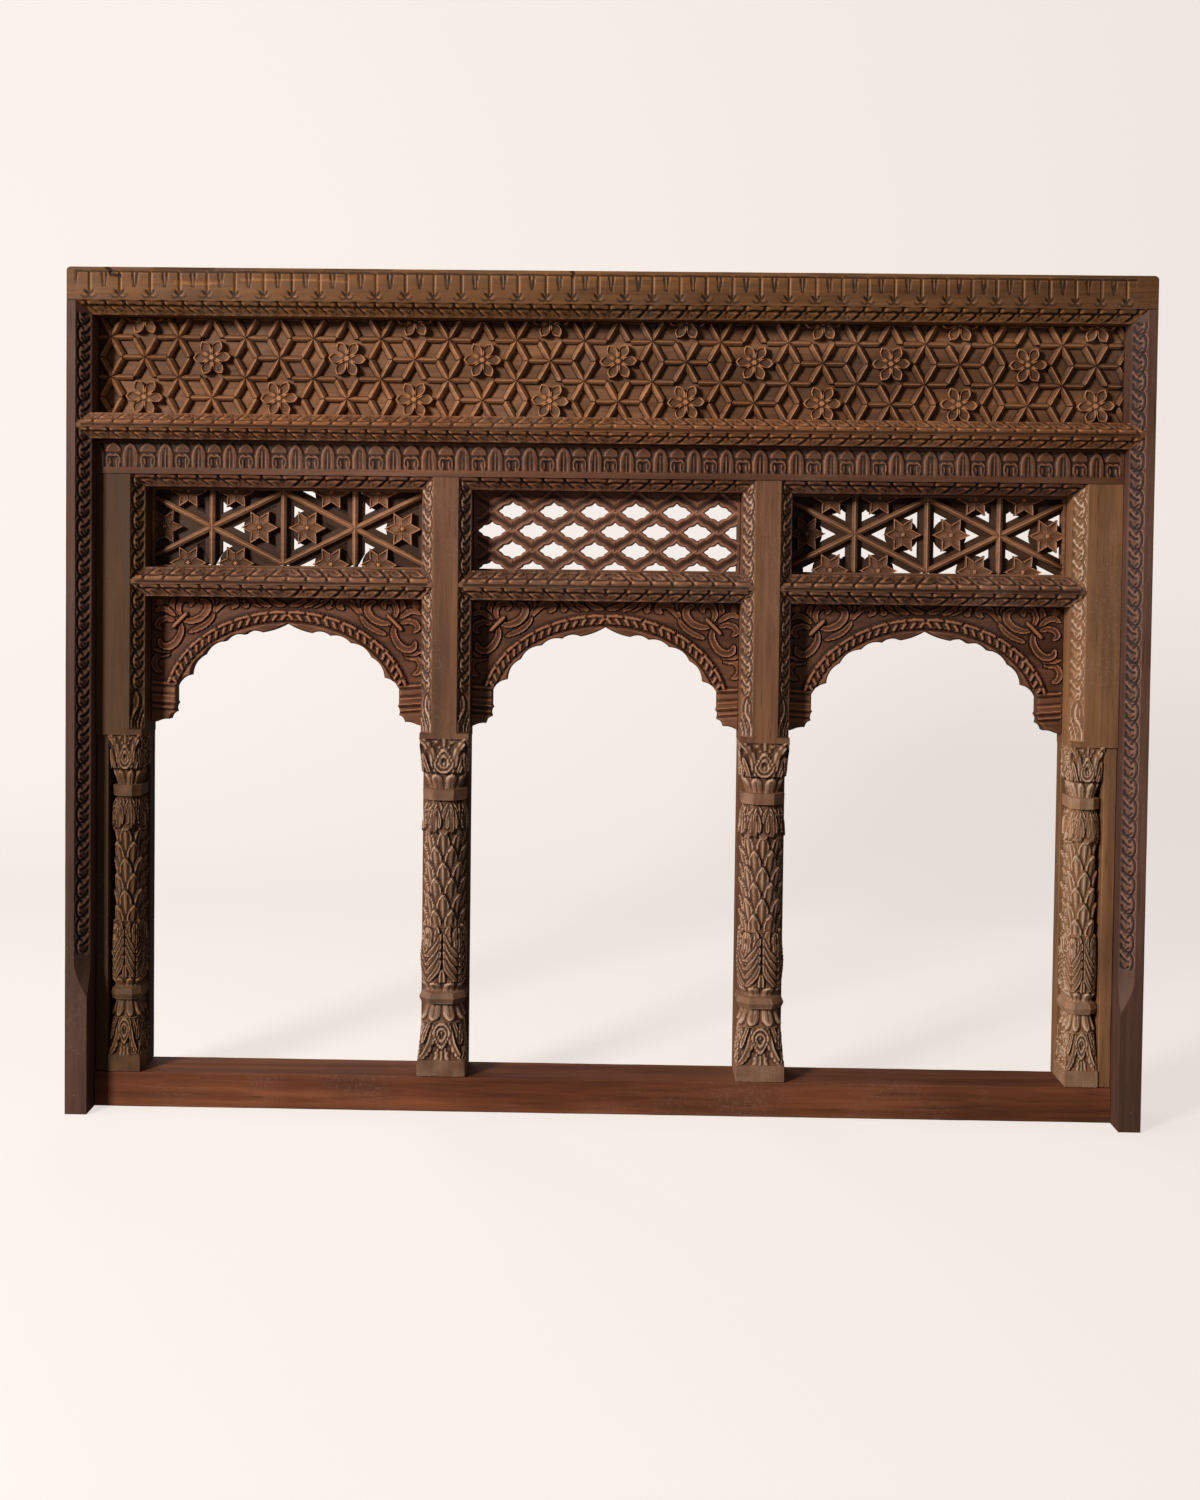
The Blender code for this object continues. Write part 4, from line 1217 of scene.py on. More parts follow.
class MotifBook:
    """Draws the unit tiles of the repeating motifs. Strokes are in shares of a tile."""

    def __init__(self) -> None:
        """Starts with no tile drawn."""
        self.tiles: dict[Motif, tuple[Tile, Object]] = {}

    def tile(self, motif: Motif) -> tuple[Tile, Object]:
        """A motif's tile and its helper object, drawn when first asked for."""
        if motif not in self.tiles:
            drawn: Tile = getattr(self, "draw_" + motif.name.lower())()
            self.tiles[motif] = (drawn, drawn.stamp("tile_" + motif.name.lower()))
        return self.tiles[motif]

    def discard(self) -> None:
        """Removes the helper objects."""
        for _, helper in self.tiles.values():
            bpy.data.objects.remove(helper)
        self.tiles.clear()

    def draw_tongue(self) -> Tile:
        """Tongues on the head: tall panels that end in a barbed point."""
        tile = Tile(41.3, 43)
        tile.cut([[(0, 0.1), (0, 0.74)]], 2.0, 3.8, pillow=0.15)
        tile.cut([[(-0.11, 0.73), (0, 0.84), (0.11, 0.73)]], 2.0, 3.6, pillow=0.15)
        tile.cut([[(0, 0.76), (0, 0.94)]], 2.6, 4.0, taper=(1, 0.3), pillow=0.15)
        barbs = [[(0, 0.88), (side * 0.10, 0.80), (side * 0.18, 0.64)] for side in (-1, 1)]
        tile.cut(barbs, 1.4, 2.0, taper=(1, 0.4))
        feet = [[(0, 0.90), (side * 0.14, 0.95), (side * 0.28, 0.86)] for side in (-1, 1)]
        tile.cut(feet, 1.5, 2.2, taper=(1, 0.4))
        slots = [[(0.43, 0.12), (0.47, 0.56)], [(0.57, 0.12), (0.53, 0.56)]]
        tile.cut(slots, 1.7, 3.0, taper=(1.1, 0.5), pillow=0.15)
        tile.cut([[(0, 0.05), (0.5, 0.04), (1, 0.05)]], 1.6, 2.0, pillow=0.15)
        return tile

    def draw_leaf(self) -> Tile:
        """Leaning leaves under a row of rounded bars, laid towards the origin."""
        tile = Tile(31, 22, -1.4)
        bar = [[(0.88, 0.20), (0.52, 0.15), (0.16, 0.22)]]
        tile.swell(bar, 4.0, 1.0, -1.4)
        tile.swell([[(0.64, 0.56), (0.44, 0.72), (0.24, 0.94)]], 4.6, 0.6, -1.4)
        under = [[(0.98, 0.36), (0.78, 0.45), (0.44, 0.41), (0.16, 0.46), (0.06, 0.62)]]
        tile.cut(under, 1.6, 2.4, pillow=0.2)
        tile.cut([[(1.06, 0.02), (0.98, 0.28)]], 2.0, 3.6, pillow=0.2)
        tile.cut([[(0.94, 0.40), (0.82, 0.56), (0.66, 0.78), (0.56, 0.97)]], 2.1, 3.6, pillow=0.2)
        tile.cut([[(0.50, 0.56), (0.36, 0.68), (0.22, 0.84)]], 1.5, 2.0, taper=(0.6, 1.0))
        tile.swell([[(0, 0.985), (1, 0.985)]], 1.6, -0.2, -1.6)
        return tile

    def draw_guilloche(self) -> Tile:
        """Interlaced ovals, each with a leaning leaf inside."""
        tile = Tile(29.3, 22, -1.2)
        tile.swell([[(0.20, 0.44), (0.40, 0.36), (0.62, 0.44)]], 5.0, 0.4, -1.2)
        tile.swell([[(0.06, 0.20), (0.34, 0.06), (0.70, 0.06), (0.96, 0.18)]], 2.4, 0.4, -1.2)
        tile.swell([[(0.72, 0.60), (0.84, 0.80), (1.0, 0.95)]], 3.0, 0.2, -1.2)
        ovals = [
            [(0.40, 0.96), (0.20, 0.87), (0.05, 0.64), (0.02, 0.45), (0.10, 0.24), (0.30, 0.16)],
            [(0.30, 0.16), (0.50, 0.14), (0.70, 0.16), (0.86, 0.22), (0.95, 0.38)],
            [(0.85, 0.96), (0.66, 0.82), (0.54, 0.60), (0.52, 0.42)],
        ]
        tile.cut(ovals, 1.7, 3.0)
        hooks = [[(0.14, 0.58), (0.26, 0.40)], [(0.78, 0.54), (0.94, 0.42)]]
        tile.cut(hooks, 1.5, 2.4)
        return tile

    def draw_lotus(self) -> Tile:
        """A lotus petal, and a cap over two volutes beside it. The top is at 0."""
        tile = Tile(51.3, 38, -3.3)
        relief = tile.relief
        u = relief.u / tile.length
        y = relief.v / tile.width * tile.width
        for shift in (0, 1):
            x = np.abs(u - shift) * tile.length
            cap = 13.0 * dome(held((15.5 - y) / 14.7))
            crown = held((cap - x) / 3.0)
            inside = (x < cap) & (y < 15.5)
            relief.body = np.where(
                inside, -2.6 * (1 - np.sqrt(crown)) - 0.10 * np.clip(y - 8, 0, 9), relief.body
            )
        for side in (-1, 1):
            outer = [(0.03, 0.53), (0.09, 0.50), (0.165, 0.56), (0.20, 0.74), (0.16, 0.95)]
            inner = [(0.10, 0.66), (0.085, 0.80), (0.11, 0.94), (0.16, 0.93)]
            for turns, half in ((outer, 2.4), (inner, 2.0)):
                path = [[(side * a, b) for a, b in turns]]
                tile.swell(path, half, 0.2, -3.3)
        for shift in (-1, 0, 1):
            x = np.abs(u - 0.5 - shift) * tile.length
            arch = 12.4 * np.sqrt(held(1 - held((22 - y) / 21) ** 1.8))
            crown = held((arch - x) / 3.2)
            relief.body = np.where(x < arch, 0.4 - 3.0 * (1 - np.sqrt(crown)), relief.body)
            edge = (x >= arch) & (x < arch + 1.6) & (y < 34)
            relief.body = np.where(edge, -4.0, relief.body)
        veins = [
            [(0.465, 0.26), (0.45, 0.60), (0.45, 0.98)],
            [(0.535, 0.26), (0.55, 0.60), (0.55, 0.98)],
        ]
        tile.cut(veins, 1.9, 3.6, taper=(0.6, 1.0))
        tile.swell([[(0, 0.992), (1, 0.992)]], 1.4, -0.2)
        return tile

    def draw_flame(self) -> Tile:
        """The leaf that ends a post's chamfer, twisting down. Its tip is at the far end."""
        tile = Tile(64, 22, -1.6)
        blades = [
            [(0.93, 0.48), (0.74, 0.58), (0.56, 0.50), (0.40, 0.30), (0.22, 0.18), (0.02, 0.16)],
            [(0.62, 0.66), (0.46, 0.58), (0.30, 0.42), (0.14, 0.36), (0.02, 0.38)],
            [(0.50, 0.86), (0.34, 0.76), (0.20, 0.60), (0.04, 0.60)],
            [(0.36, 0.96), (0.22, 0.88), (0.10, 0.80), (0.02, 0.82)],
        ]
        tile.swell(blades[:1], 4.4, 0.5, -1.6, taper=(0.5, 0.8))
        tile.swell(blades[1:], 2.6, 0.4, -1.6, taper=(0.7, 0.9))
        lines = [
            [(0.97, 0.46), (0.86, 0.26), (0.68, 0.20), (0.52, 0.16), (0.36, 0.08)],
            [
                (0.97, 0.50), (0.84, 0.76), (0.66, 0.82), (0.50, 0.66), (0.34, 0.36),
                (0.20, 0.26), (0.02, 0.27),
            ],
            [(0.52, 0.76), (0.36, 0.62), (0.22, 0.48), (0.04, 0.49)],
            [(0.40, 0.90), (0.26, 0.78), (0.12, 0.70), (0.02, 0.71)],
        ]
        tile.cut(lines, 2.0, 3.6)
        tile.cut([[(0.86, 0.50), (0.70, 0.48), (0.58, 0.40)]], 1.2, 1.6)
        return tile

    def draw_capital(self) -> Tile:
        """A pearled bud on each face between tall leaves at the corners. Top is at 1."""
        tile = Tile(70, 55, -4.0)
        relief = tile.relief
        for way in (1, -1):
            blades = (
                ([(35, 30), (31, 15), (26, 0)], 4.6),
                ([(34, 54), (26, 44), (20, 30), (17, 15), (12, 2)], 6.0),
            )
            for path, half in blades:
                place = [(35 + way * x, y) for x, y in path]
                relief.leaf(place, half, (2.0, 0.6), 1.5, (0.5, 0.7), 0.4, 3.6)
            tulip = [(36 + way, 37), (35 + way * 6, 43), (35 + way * 9, 50), (35 + way * 5, 55)]
            relief.leaf(tulip, 4.2, (-0.4, 0.8), 1.2, (0.6, 0.5), 0.5, 3.0)
        relief.leaf([(35, 38), (35, 54)], 3.0, (-0.6, 1.2), -0.8, (0.5, 0.9), 0.8, 3.5)
        x, y = relief.u - 35, relief.v - 17
        far = np.hypot(x * (1 + 0.04 * np.clip(y, 0, 30)), y / np.where(y > 0, 1.3, 1.0))
        relief.body = np.where(far < 18.6, -3.6, relief.body)
        for middle, top in ((15.0, 1.8), (8.2, 1.2)):
            ring = held(1 - ((far - middle) / 3.3) ** 2)
            relief.body = np.where(ring > 0, top - 5.0 * (1 - np.sqrt(ring)), relief.body)
        relief.boss((35, 14.5), (3.0, 4.0), 1.2, -4.2)
        return tile

    def draw_lappet(self) -> Tile:
        """Broad lobes that turn out from a collar. The collar is at 0."""
        tile = Tile(35, 25)
        relief = tile.relief
        x = np.abs(relief.u / tile.length - 0.5) * 2
        v = relief.v / tile.width
        edge = 0.88 * dome(held((v - 0.5) / 0.46))
        lobe = held((edge - x) / 0.42)
        swell = 0.25 + 0.75 * v
        relief.body = np.where(x < edge, -4.4 + 6.0 * lobe**0.6 * swell, -5.0)
        tile.cut([[(0.5, 0.05), (0.5, 0.60)]], 2.0, 1.6, taper=(1, 0.4))
        return tile

    def draw_drooping(self) -> Tile:
        """Acanthus that hangs from a collar, two fans of fingers on each face."""
        tile = Tile(35, 50, -4.0)
        fingers = (
            ((0.52, 0.03), (0.74, 0.14), (0.92, 0.32), (0.96, 0.52), 0.4),
            ((0.48, 0.03), (0.26, 0.14), (0.08, 0.32), (0.04, 0.52), 0.4),
            ((0.51, 0.06), (0.66, 0.34), (0.76, 0.58), (0.76, 0.80), 1.0),
            ((0.49, 0.06), (0.34, 0.34), (0.24, 0.58), (0.24, 0.80), 1.0),
            ((0.50, 0.08), (0.50, 0.40), (0.51, 0.70), (0.50, 0.97), 1.8),
        )
        for *path, top in fingers:
            tile.lay([path], 4.4, (top - 1.2, top), 1.3, (0.35, 0.8), 0.7)
        return tile

    def draw_scale(self) -> Tile:
        """Overlapping pointed leaves, each row between the tips of the next. Up is 1."""
        tile = Tile(27, 50, wrap=50)
        relief = tile.relief
        height = np.full(relief.u.shape, -9.0)
        edge = np.zeros(relief.u.shape)
        for du, tip in ((0.5, 1.0), (0.5, 2.0), (0.0, 0.5), (1.0, 0.5), (0.0, 1.5), (1.0, 1.5)):
            x = np.abs(relief.u / tile.length - du) * tile.length
            down = tip * tile.width - relief.v
            width = 12.0 * held(down / 19.0) ** 0.62
            inside = (down > 0) & (x < width) & (down < 50)
            rounding = 1.8 * (1 - np.sqrt(held((width - x) / 2.4)))
            rib = 0.9 * held(1 - x / 2.4) * held(down / 8)
            flute = 1.6 * crest(x, 5.6, 2.8) * held((down - 5) / 6)
            rim = crest(width - x, 2.3, 1.8)
            level = np.where(inside, 3.0 - 0.20 * down - rounding + rib + rim - flute, -9.0)
            out = held(1 - (x - width) / 2.2) * (down > -2.2) * (down < 22) * (x >= width)
            edge = np.where(level > height, 0, np.maximum(edge, 0))
            height = np.maximum(height, level)
            edge = np.where(
                (out > 0) & (height < 3.0 - 0.20 * down - 1.0), np.maximum(edge, out), edge
            )
        relief.body = np.maximum(height, -4.0)
        relief.cuts = np.maximum(relief.cuts, 1.8 * edge)
        return tile

    def draw_calyx(self) -> Tile:
        """Leaves at the corners whose lobes rise to the middle of each face."""
        tile = Tile(70, 91, -4.0)
        for way in (-1, 1):
            tall = [
                (0.5 + way * 0.30, 0.30), (0.5 + way * 0.24, 0.56), (0.5 + way * 0.15, 0.80),
                (0.5 + way * 0.22, 0.965),
            ]
            tile.lay([tall], 7.0, (0.0, 1.6), 1.5, (0.5, 0.45), 0.7)
            outer = [(way * 0.02, 0.36), (way * 0.07, 0.60), (way * 0.11, 0.80), (way * 0.05, 0.93)]
            tile.lay([outer], 5.6, (0.0, 1.2), 1.2, (0.5, 0.4), 0.6)
        for i in reversed(range(4)):
            low = 0.02 + 0.145 * i
            for way in (-1, 1):
                lobe = [
                    (way * 0.04, low), (way * 0.20, low + 0.09), (way * 0.36, low + 0.21),
                    (way * 0.455, low + 0.38),
                ]
                tile.lay([lobe], 5.4, (-0.6, 1.6), 1.5, (0.5, 0.25), 0.5)
        tile.cut([[(0.5, 0.16), (0.5, 0.74)], [(0, 0.02), (0, 0.5)]], 1.5, 2.6)
        tile.lay([[(0.5, -0.02), (0.5, 0.23)]], 6.8, (0.6, 1.2), 0.6, (0.9, 0.1), 0.3)
        tile.cut([[(0.5, 0.0), (0.5, 0.19)]], 1.5, 2.0)
        return tile

    def draw_dash(self) -> Tile:
        """The arches' band: a raised bar over two comma leaves. The cusps are at 0."""
        tile = Tile(23.8, 16, -4.4)
        bar = [[(0.14, 0.80), (0.50, 0.82), (0.86, 0.80)]]
        tile.swell(bar, 2.8, 0.6, -3.0)
        commas = [
            [(0.12, 0.50), (0.20, 0.36), (0.30, 0.08)], [(0.60, 0.50), (0.68, 0.36), (0.80, 0.08)]
        ]
        tile.swell(commas, 3.6, 0.2, -4.0, taper=(1, 0.8))
        return tile


class Workshop:
    """Turns skins into finished pieces that stand for the frame's nodes."""

    def __init__(self) -> None:
        """Readies the trees, groups and tiles."""
        self.trees = Trees()
        self.groups = Groups()
        self.book = MotifBook()
        self.materials: dict[str, bpy.types.Material] = {}

    def material(self, wood: Wood) -> bpy.types.Material:
        """A wood's material, built when first asked for."""
        if wood.name not in self.materials:
            self.materials[wood.name] = wood_material(wood, self.groups)
        return self.materials[wood.name]

    def deliver(
        self, mesh: Mesh, node: str, wood: Wood, motifs: Sequence[Motif] = (),
        worked: float = 0.5,
    ) -> None:
        """Carves, finishes and mounts one piece.

        Args:
            mesh: Its mesh, with the numbers that the carving tree reads.
            node: The frame's node that it stands for.
            wood: Its finish.
            motifs: The motifs on it.
            worked: How deep the unevenness of the hand-worked surface goes, in mm.
        """
        piece = placed(node + "_carved", mesh)
        material = self.material(wood)
        for motif in motifs:
            tile, helper = self.book.tile(motif)
            Trees.use(
                piece, self.trees.carving, Tile=helper, Motif=motif.value,
                Tile_Length=tile.length * MM, Tile_Width=tile.width * MM, Material=material,
            )
        Trees.use(piece, self.trees.finishing, Depth=worked * MM, Material=material)
        plain = plain_mesh(piece)
        plain.name = piece.name
        for label in ("along", "across", "reach", "motif"):
            if label in plain.attributes:
                plain.attributes.remove(plain.attributes[label])
        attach(piece, ROOT)
        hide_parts(node)
        LOG.info("%s: %d faces", piece.name, len(plain.polygons))


@dataclass
class Head:
    """The head beam: tongues on its face, a rope of leaves on the chamfer below.

    Attributes:
        face: The height of the face.
        tongue: The pitch of the tongues.
        leaf: The pitch of the leaves.
        easing: How far its upper corners are rounded.
    """

    face: float = 50.0
    tongue: float = 41.3
    leaf: float = 29.5
    easing: float = 6.0

    def build(self, shop: Workshop, wood: Wood) -> None:
        """Builds the head and mounts it."""
        level = TOP - self.face

        def reach(depth: Array, z: Array) -> Array:
            """The head's half length at a point of its section."""
            over = np.clip(z - TOP + self.easing, 0, self.easing)
            full = HALF_WIDTH - self.easing + np.sqrt(self.easing**2 - over**2)
            return np.where(z > level - 0.05, full, STILE_INNER - GAP + z - HEAD_BOTTOM)

        tongues = Band(Motif.TONGUE, -813, 794, self.tongue, -16.6, edges=(5.0, 1.5), drift=1.21)
        leaves = Band(Motif.LEAF, -809, 809, self.leaf, mirror=True, edges=(1.0, 1.5))
        marks = (
            Mark(((-766, 0), (-757, 5), (-758, 11), (-742, 14)), 2.4, 3.5),
            Mark(((-60, 0), (-54, 3), (-56, 8)), 2.4, 3.0),
            Mark(((-690, 1), (-640, 4), (-600, 3)), 3.5, 1.6, -0.3),
            Mark(((-660, 22), (-625, 24), (-590, 22)), 3.5, 1.6, 0.5),
            Mark(((-430, 1), (-380, 3), (-330, 1)), 4.0, 1.6, -0.3),
            Mark(((-560, 18), (-480, 17), (-400, 19)), 2.2, 0.8, 0.5),
            Mark(((300, 0), (345, 3), (390, 0)), 3.5, 1.6, -0.3),
            Mark(((560, 0), (640, 2), (700, 0)), 3.5, 1.4, 0.3),
        )
        facets = [
            Facet((0.0, TOP), 27, (tongues,), marks), Facet((0.0, level)),
            Facet((0.0, level - 0.1), 15, (leaves,)), Facet((CHAMFER, HEAD_BOTTOM)),
            Facet((DEEP, HEAD_BOTTOM)), Facet((DEEP, level - 0.1)), Facet((DEEP, level)),
            Facet((DEEP, TOP), 2),
        ]
        caps = ((6, 7, 0, 1), (1, 2, 5, 6), (2, 3, 4, 5))
        places = stations(-HALF_WIDTH, HALF_WIDTH)
        low: Limit = lambda depth, z: -reach(depth, z)
        mesh = swept(Axis.X, facets, places, low, reach, caps, caps).mesh("head")
        shop.deliver(mesh, "head_beam", wood, (Motif.TONGUE, Motif.LEAF))


@dataclass
class Stile:
    """An outer upright: a carved chamfer inside, which stops in a curve near the foot.

    Attributes:
        side: Which one.
        tip: Where the chamfer starts at the foot.
        full: Where it has its full width.
        pitch: The pitch of the carving.
    """

    side: Side
    tip: float = 182.0
    full: float = 238.0
    pitch: float = 29.3

    def build(self, shop: Workshop, wood: Wood) -> None:
        """Builds the stile and mounts it."""
        places = stations(0.0, STILE_TOP, POST_STEP, (self.tip, self.full))
        part = held((places - self.tip) / (self.full - self.tip))
        size = CHAMFER * np.sin(part * math.pi / 2) + 0.15

        def end(x: Array, depth: Array) -> Array:
            """The stile's upper end at a point of its section."""
            return np.minimum(HEAD_BOTTOM + x - STILE_INNER, STILE_TOP) - GAP

        edge = STILE_INNER + CHAMFER
        inner = np.stack([np.full_like(places, STILE_INNER), size], axis=-1)
        outer = np.stack([STILE_INNER + size, np.zeros_like(places)], axis=-1)
        edges = (1.0, 2.0)
        band = Band(Motif.GUILLOCHE, 246, 1232, self.pitch, origin=246, turned=True, edges=edges)
        facets = [
            Facet(outer, 3), Facet((HALF_WIDTH, 0.0), 4), Facet((HALF_WIDTH, DEEP)),
            Facet((edge, DEEP)), Facet((STILE_INNER, DEEP), 4), Facet(inner, 15, (band,)),
        ]
        caps_high = ((0, 1, 2, 3), (3, 4, 5, 6))
        skin = swept(Axis.Z, facets, places, flat_end(0), end, (), caps_high, self.side)
        name = self.side.name.lower() + "_stile"
        shop.deliver(skin.mesh(name), name, wood, (Motif.GUILLOCHE,))


@dataclass
class RidgedBar:
    """A bar with a narrow flat ridge and a rope of leaves on both slopes.

    Attributes:
        node: The frame's node it stands for.
        slot: Its material slot's name; not used.
        left: The inner face of the piece at its left end.
        right: The inner face of the piece at its right end.
        centre: The height of its middle.
        half: Half its height.
        front: The depth of its ridge.
        lap: How far it laps over the chamfers at its ends.
        back: The depth of its back.
        pitch: The pitch of the leaves.
        ridge: Half the height of the ridge.
    """

    node: str
    slot: str
    left: float
    right: float
    centre: float
    half: float
    front: float
    lap: float
    back: float
    pitch: float
    ridge: float = 3.0

    def build(self, shop: Workshop, wood: Wood) -> None:
        """Builds the bar and mounts it."""
        z, slope = self.centre, self.half - self.ridge
        middle = (self.left + self.right) / 2
        foot = self.front + slope
        lap_end = self.front + self.lap

        def high(depth: Array, _: Array) -> Array:
            """The bar's right end at a point of its section."""
            return self.right - GAP + np.maximum(lap_end - depth, 0)

        def low(depth: Array, _: Array) -> Array:
            """Its left end."""
            return self.left + GAP - np.maximum(lap_end - depth, 0)

        ends = (self.left - self.lap, self.right + self.lap)
        fillets = (0.7, 1.0)
        line = Mark(((ends[0] + 9, 3.0), (middle, 3.0), (ends[1] - 9, 3.0)), 2.2, 1.6)
        lower = Band(Motif.LEAF, *ends, self.pitch, middle, mirror=True, edges=fillets)
        upper = Band(
            Motif.LEAF, *ends, self.pitch, middle + 7, mirror=True, turned=True, edges=fillets
        )
        beyond = max(lap_end, foot + 0.5)
        facets = [
            Facet((self.front, z + self.ridge), 4, (), (line,)),
            Facet((self.front, z - self.ridge), 14, (lower,)), Facet((foot, z - self.half)),
            Facet((beyond, z - self.half)), Facet((self.back, z - self.half)),
            Facet((self.back, z + self.half)), Facet((beyond, z + self.half)),
            Facet((foot, z + self.half), 14, (upper,)),
        ]
        caps = ((6, 7, 0, 1, 2, 3), (3, 4, 5, 6))
        skin = swept(Axis.X, facets, stations(*ends), low, high, caps, caps)
        shop.deliver(skin.mesh(self.node), self.node, wood, (Motif.LEAF,))


@dataclass
class LotusRail:
    """The rail of lotus petals, with a leafy chamfer over each opening.

    Attributes:
        front: The depth of its face.
        top: The height of its top.
        petals_end: Where the petals end above a plain fillet.
        pitch: The pitch of the petals.
        leaf: The pitch of the leaves.
    """

    front: float = 40.0
    top: float = 1040.7
    petals_end: float = 998.0
    pitch: float = 51.3
    leaf: float = 33.0

    def build(self, shop: Workshop, wood: Wood) -> None:
        """Builds the rail and mounts it."""
        side = STILE_INNER - GAP
        petals = Band(Motif.LOTUS, -786, 786, self.pitch, origin=6.0, edges=(3.5, 0.5))
        facets = [
            Facet((self.front, self.top), 23, (petals,)), Facet((self.front, self.petals_end), 3),
            Facet((self.front, LOTUS_BOTTOM + SLIT)), Facet((DEEP, LOTUS_BOTTOM + SLIT), 2),
            Facet((DEEP, self.top)),
        ]
        skin = swept(Axis.X, facets, stations(-side, side), flat_end(-side), flat_end(side))
        foot = LOTUS_BOTTOM - POST_CHAMFER
        for left, right in BAYS.values():
            middle = (left + right) / 2
            width = (right - left) / 2
            end = self.bay_end(middle, width, foot, 1)
            start = self.bay_end(middle, width, foot, -1)
            span = (left - POST_CHAMFER, right + POST_CHAMFER)
            leaves = Band(Motif.LEAF, *span, self.leaf, middle, mirror=True, edges=(1.0, 1.6))
            top = LOTUS_BOTTOM + 1.0
            facets = [
                Facet((POST_FRONT, LOTUS_BOTTOM - SLIT), 14, (leaves,)),
                Facet((POST_FRONT + POST_CHAMFER, foot), 2), Facet((DEEP - GAP, foot)),
                Facet((DEEP - GAP, top)), Facet((POST_FRONT, top)),
            ]
            Beam(Axis.X, facets, stations(*span), start, end).add_to(skin)
        motifs = (Motif.LOTUS, Motif.LEAF)
        shop.deliver(skin.mesh("lotus"), "lotus_rail", wood, motifs)

    @staticmethod
    def bay_end(middle: float, width: float, foot: float, way: int) -> Limit:
        """The mitred end of a bay's lower part.

        Args:
            middle: The middle of the bay.
            width: Half the bay's clear width.
            foot: The height of its underside.
            way: 1 for the right end, -1 for the left.

        Returns:
            The end as a function of the section's point.
        """

        def end(depth: Array, z: Array) -> Array:
            """The end's place along the beam."""
            return middle + way * (width - SLIT + np.clip(z - foot, 0, POST_CHAMFER + 1))

        return end


@dataclass(frozen=True)
class Ring:
    """A level of a column: how far it lies inside the block, and how its corners are cut."""

    z: float
    inset: float
    cut: float
    round: bool = True


@dataclass(frozen=True)
class Row:
    """A row of carving on a column, from its start height to its stop height."""

    motif: Motif
    start: float
    stop: float
    unit: float = 1.0
    lead: float = 0.5


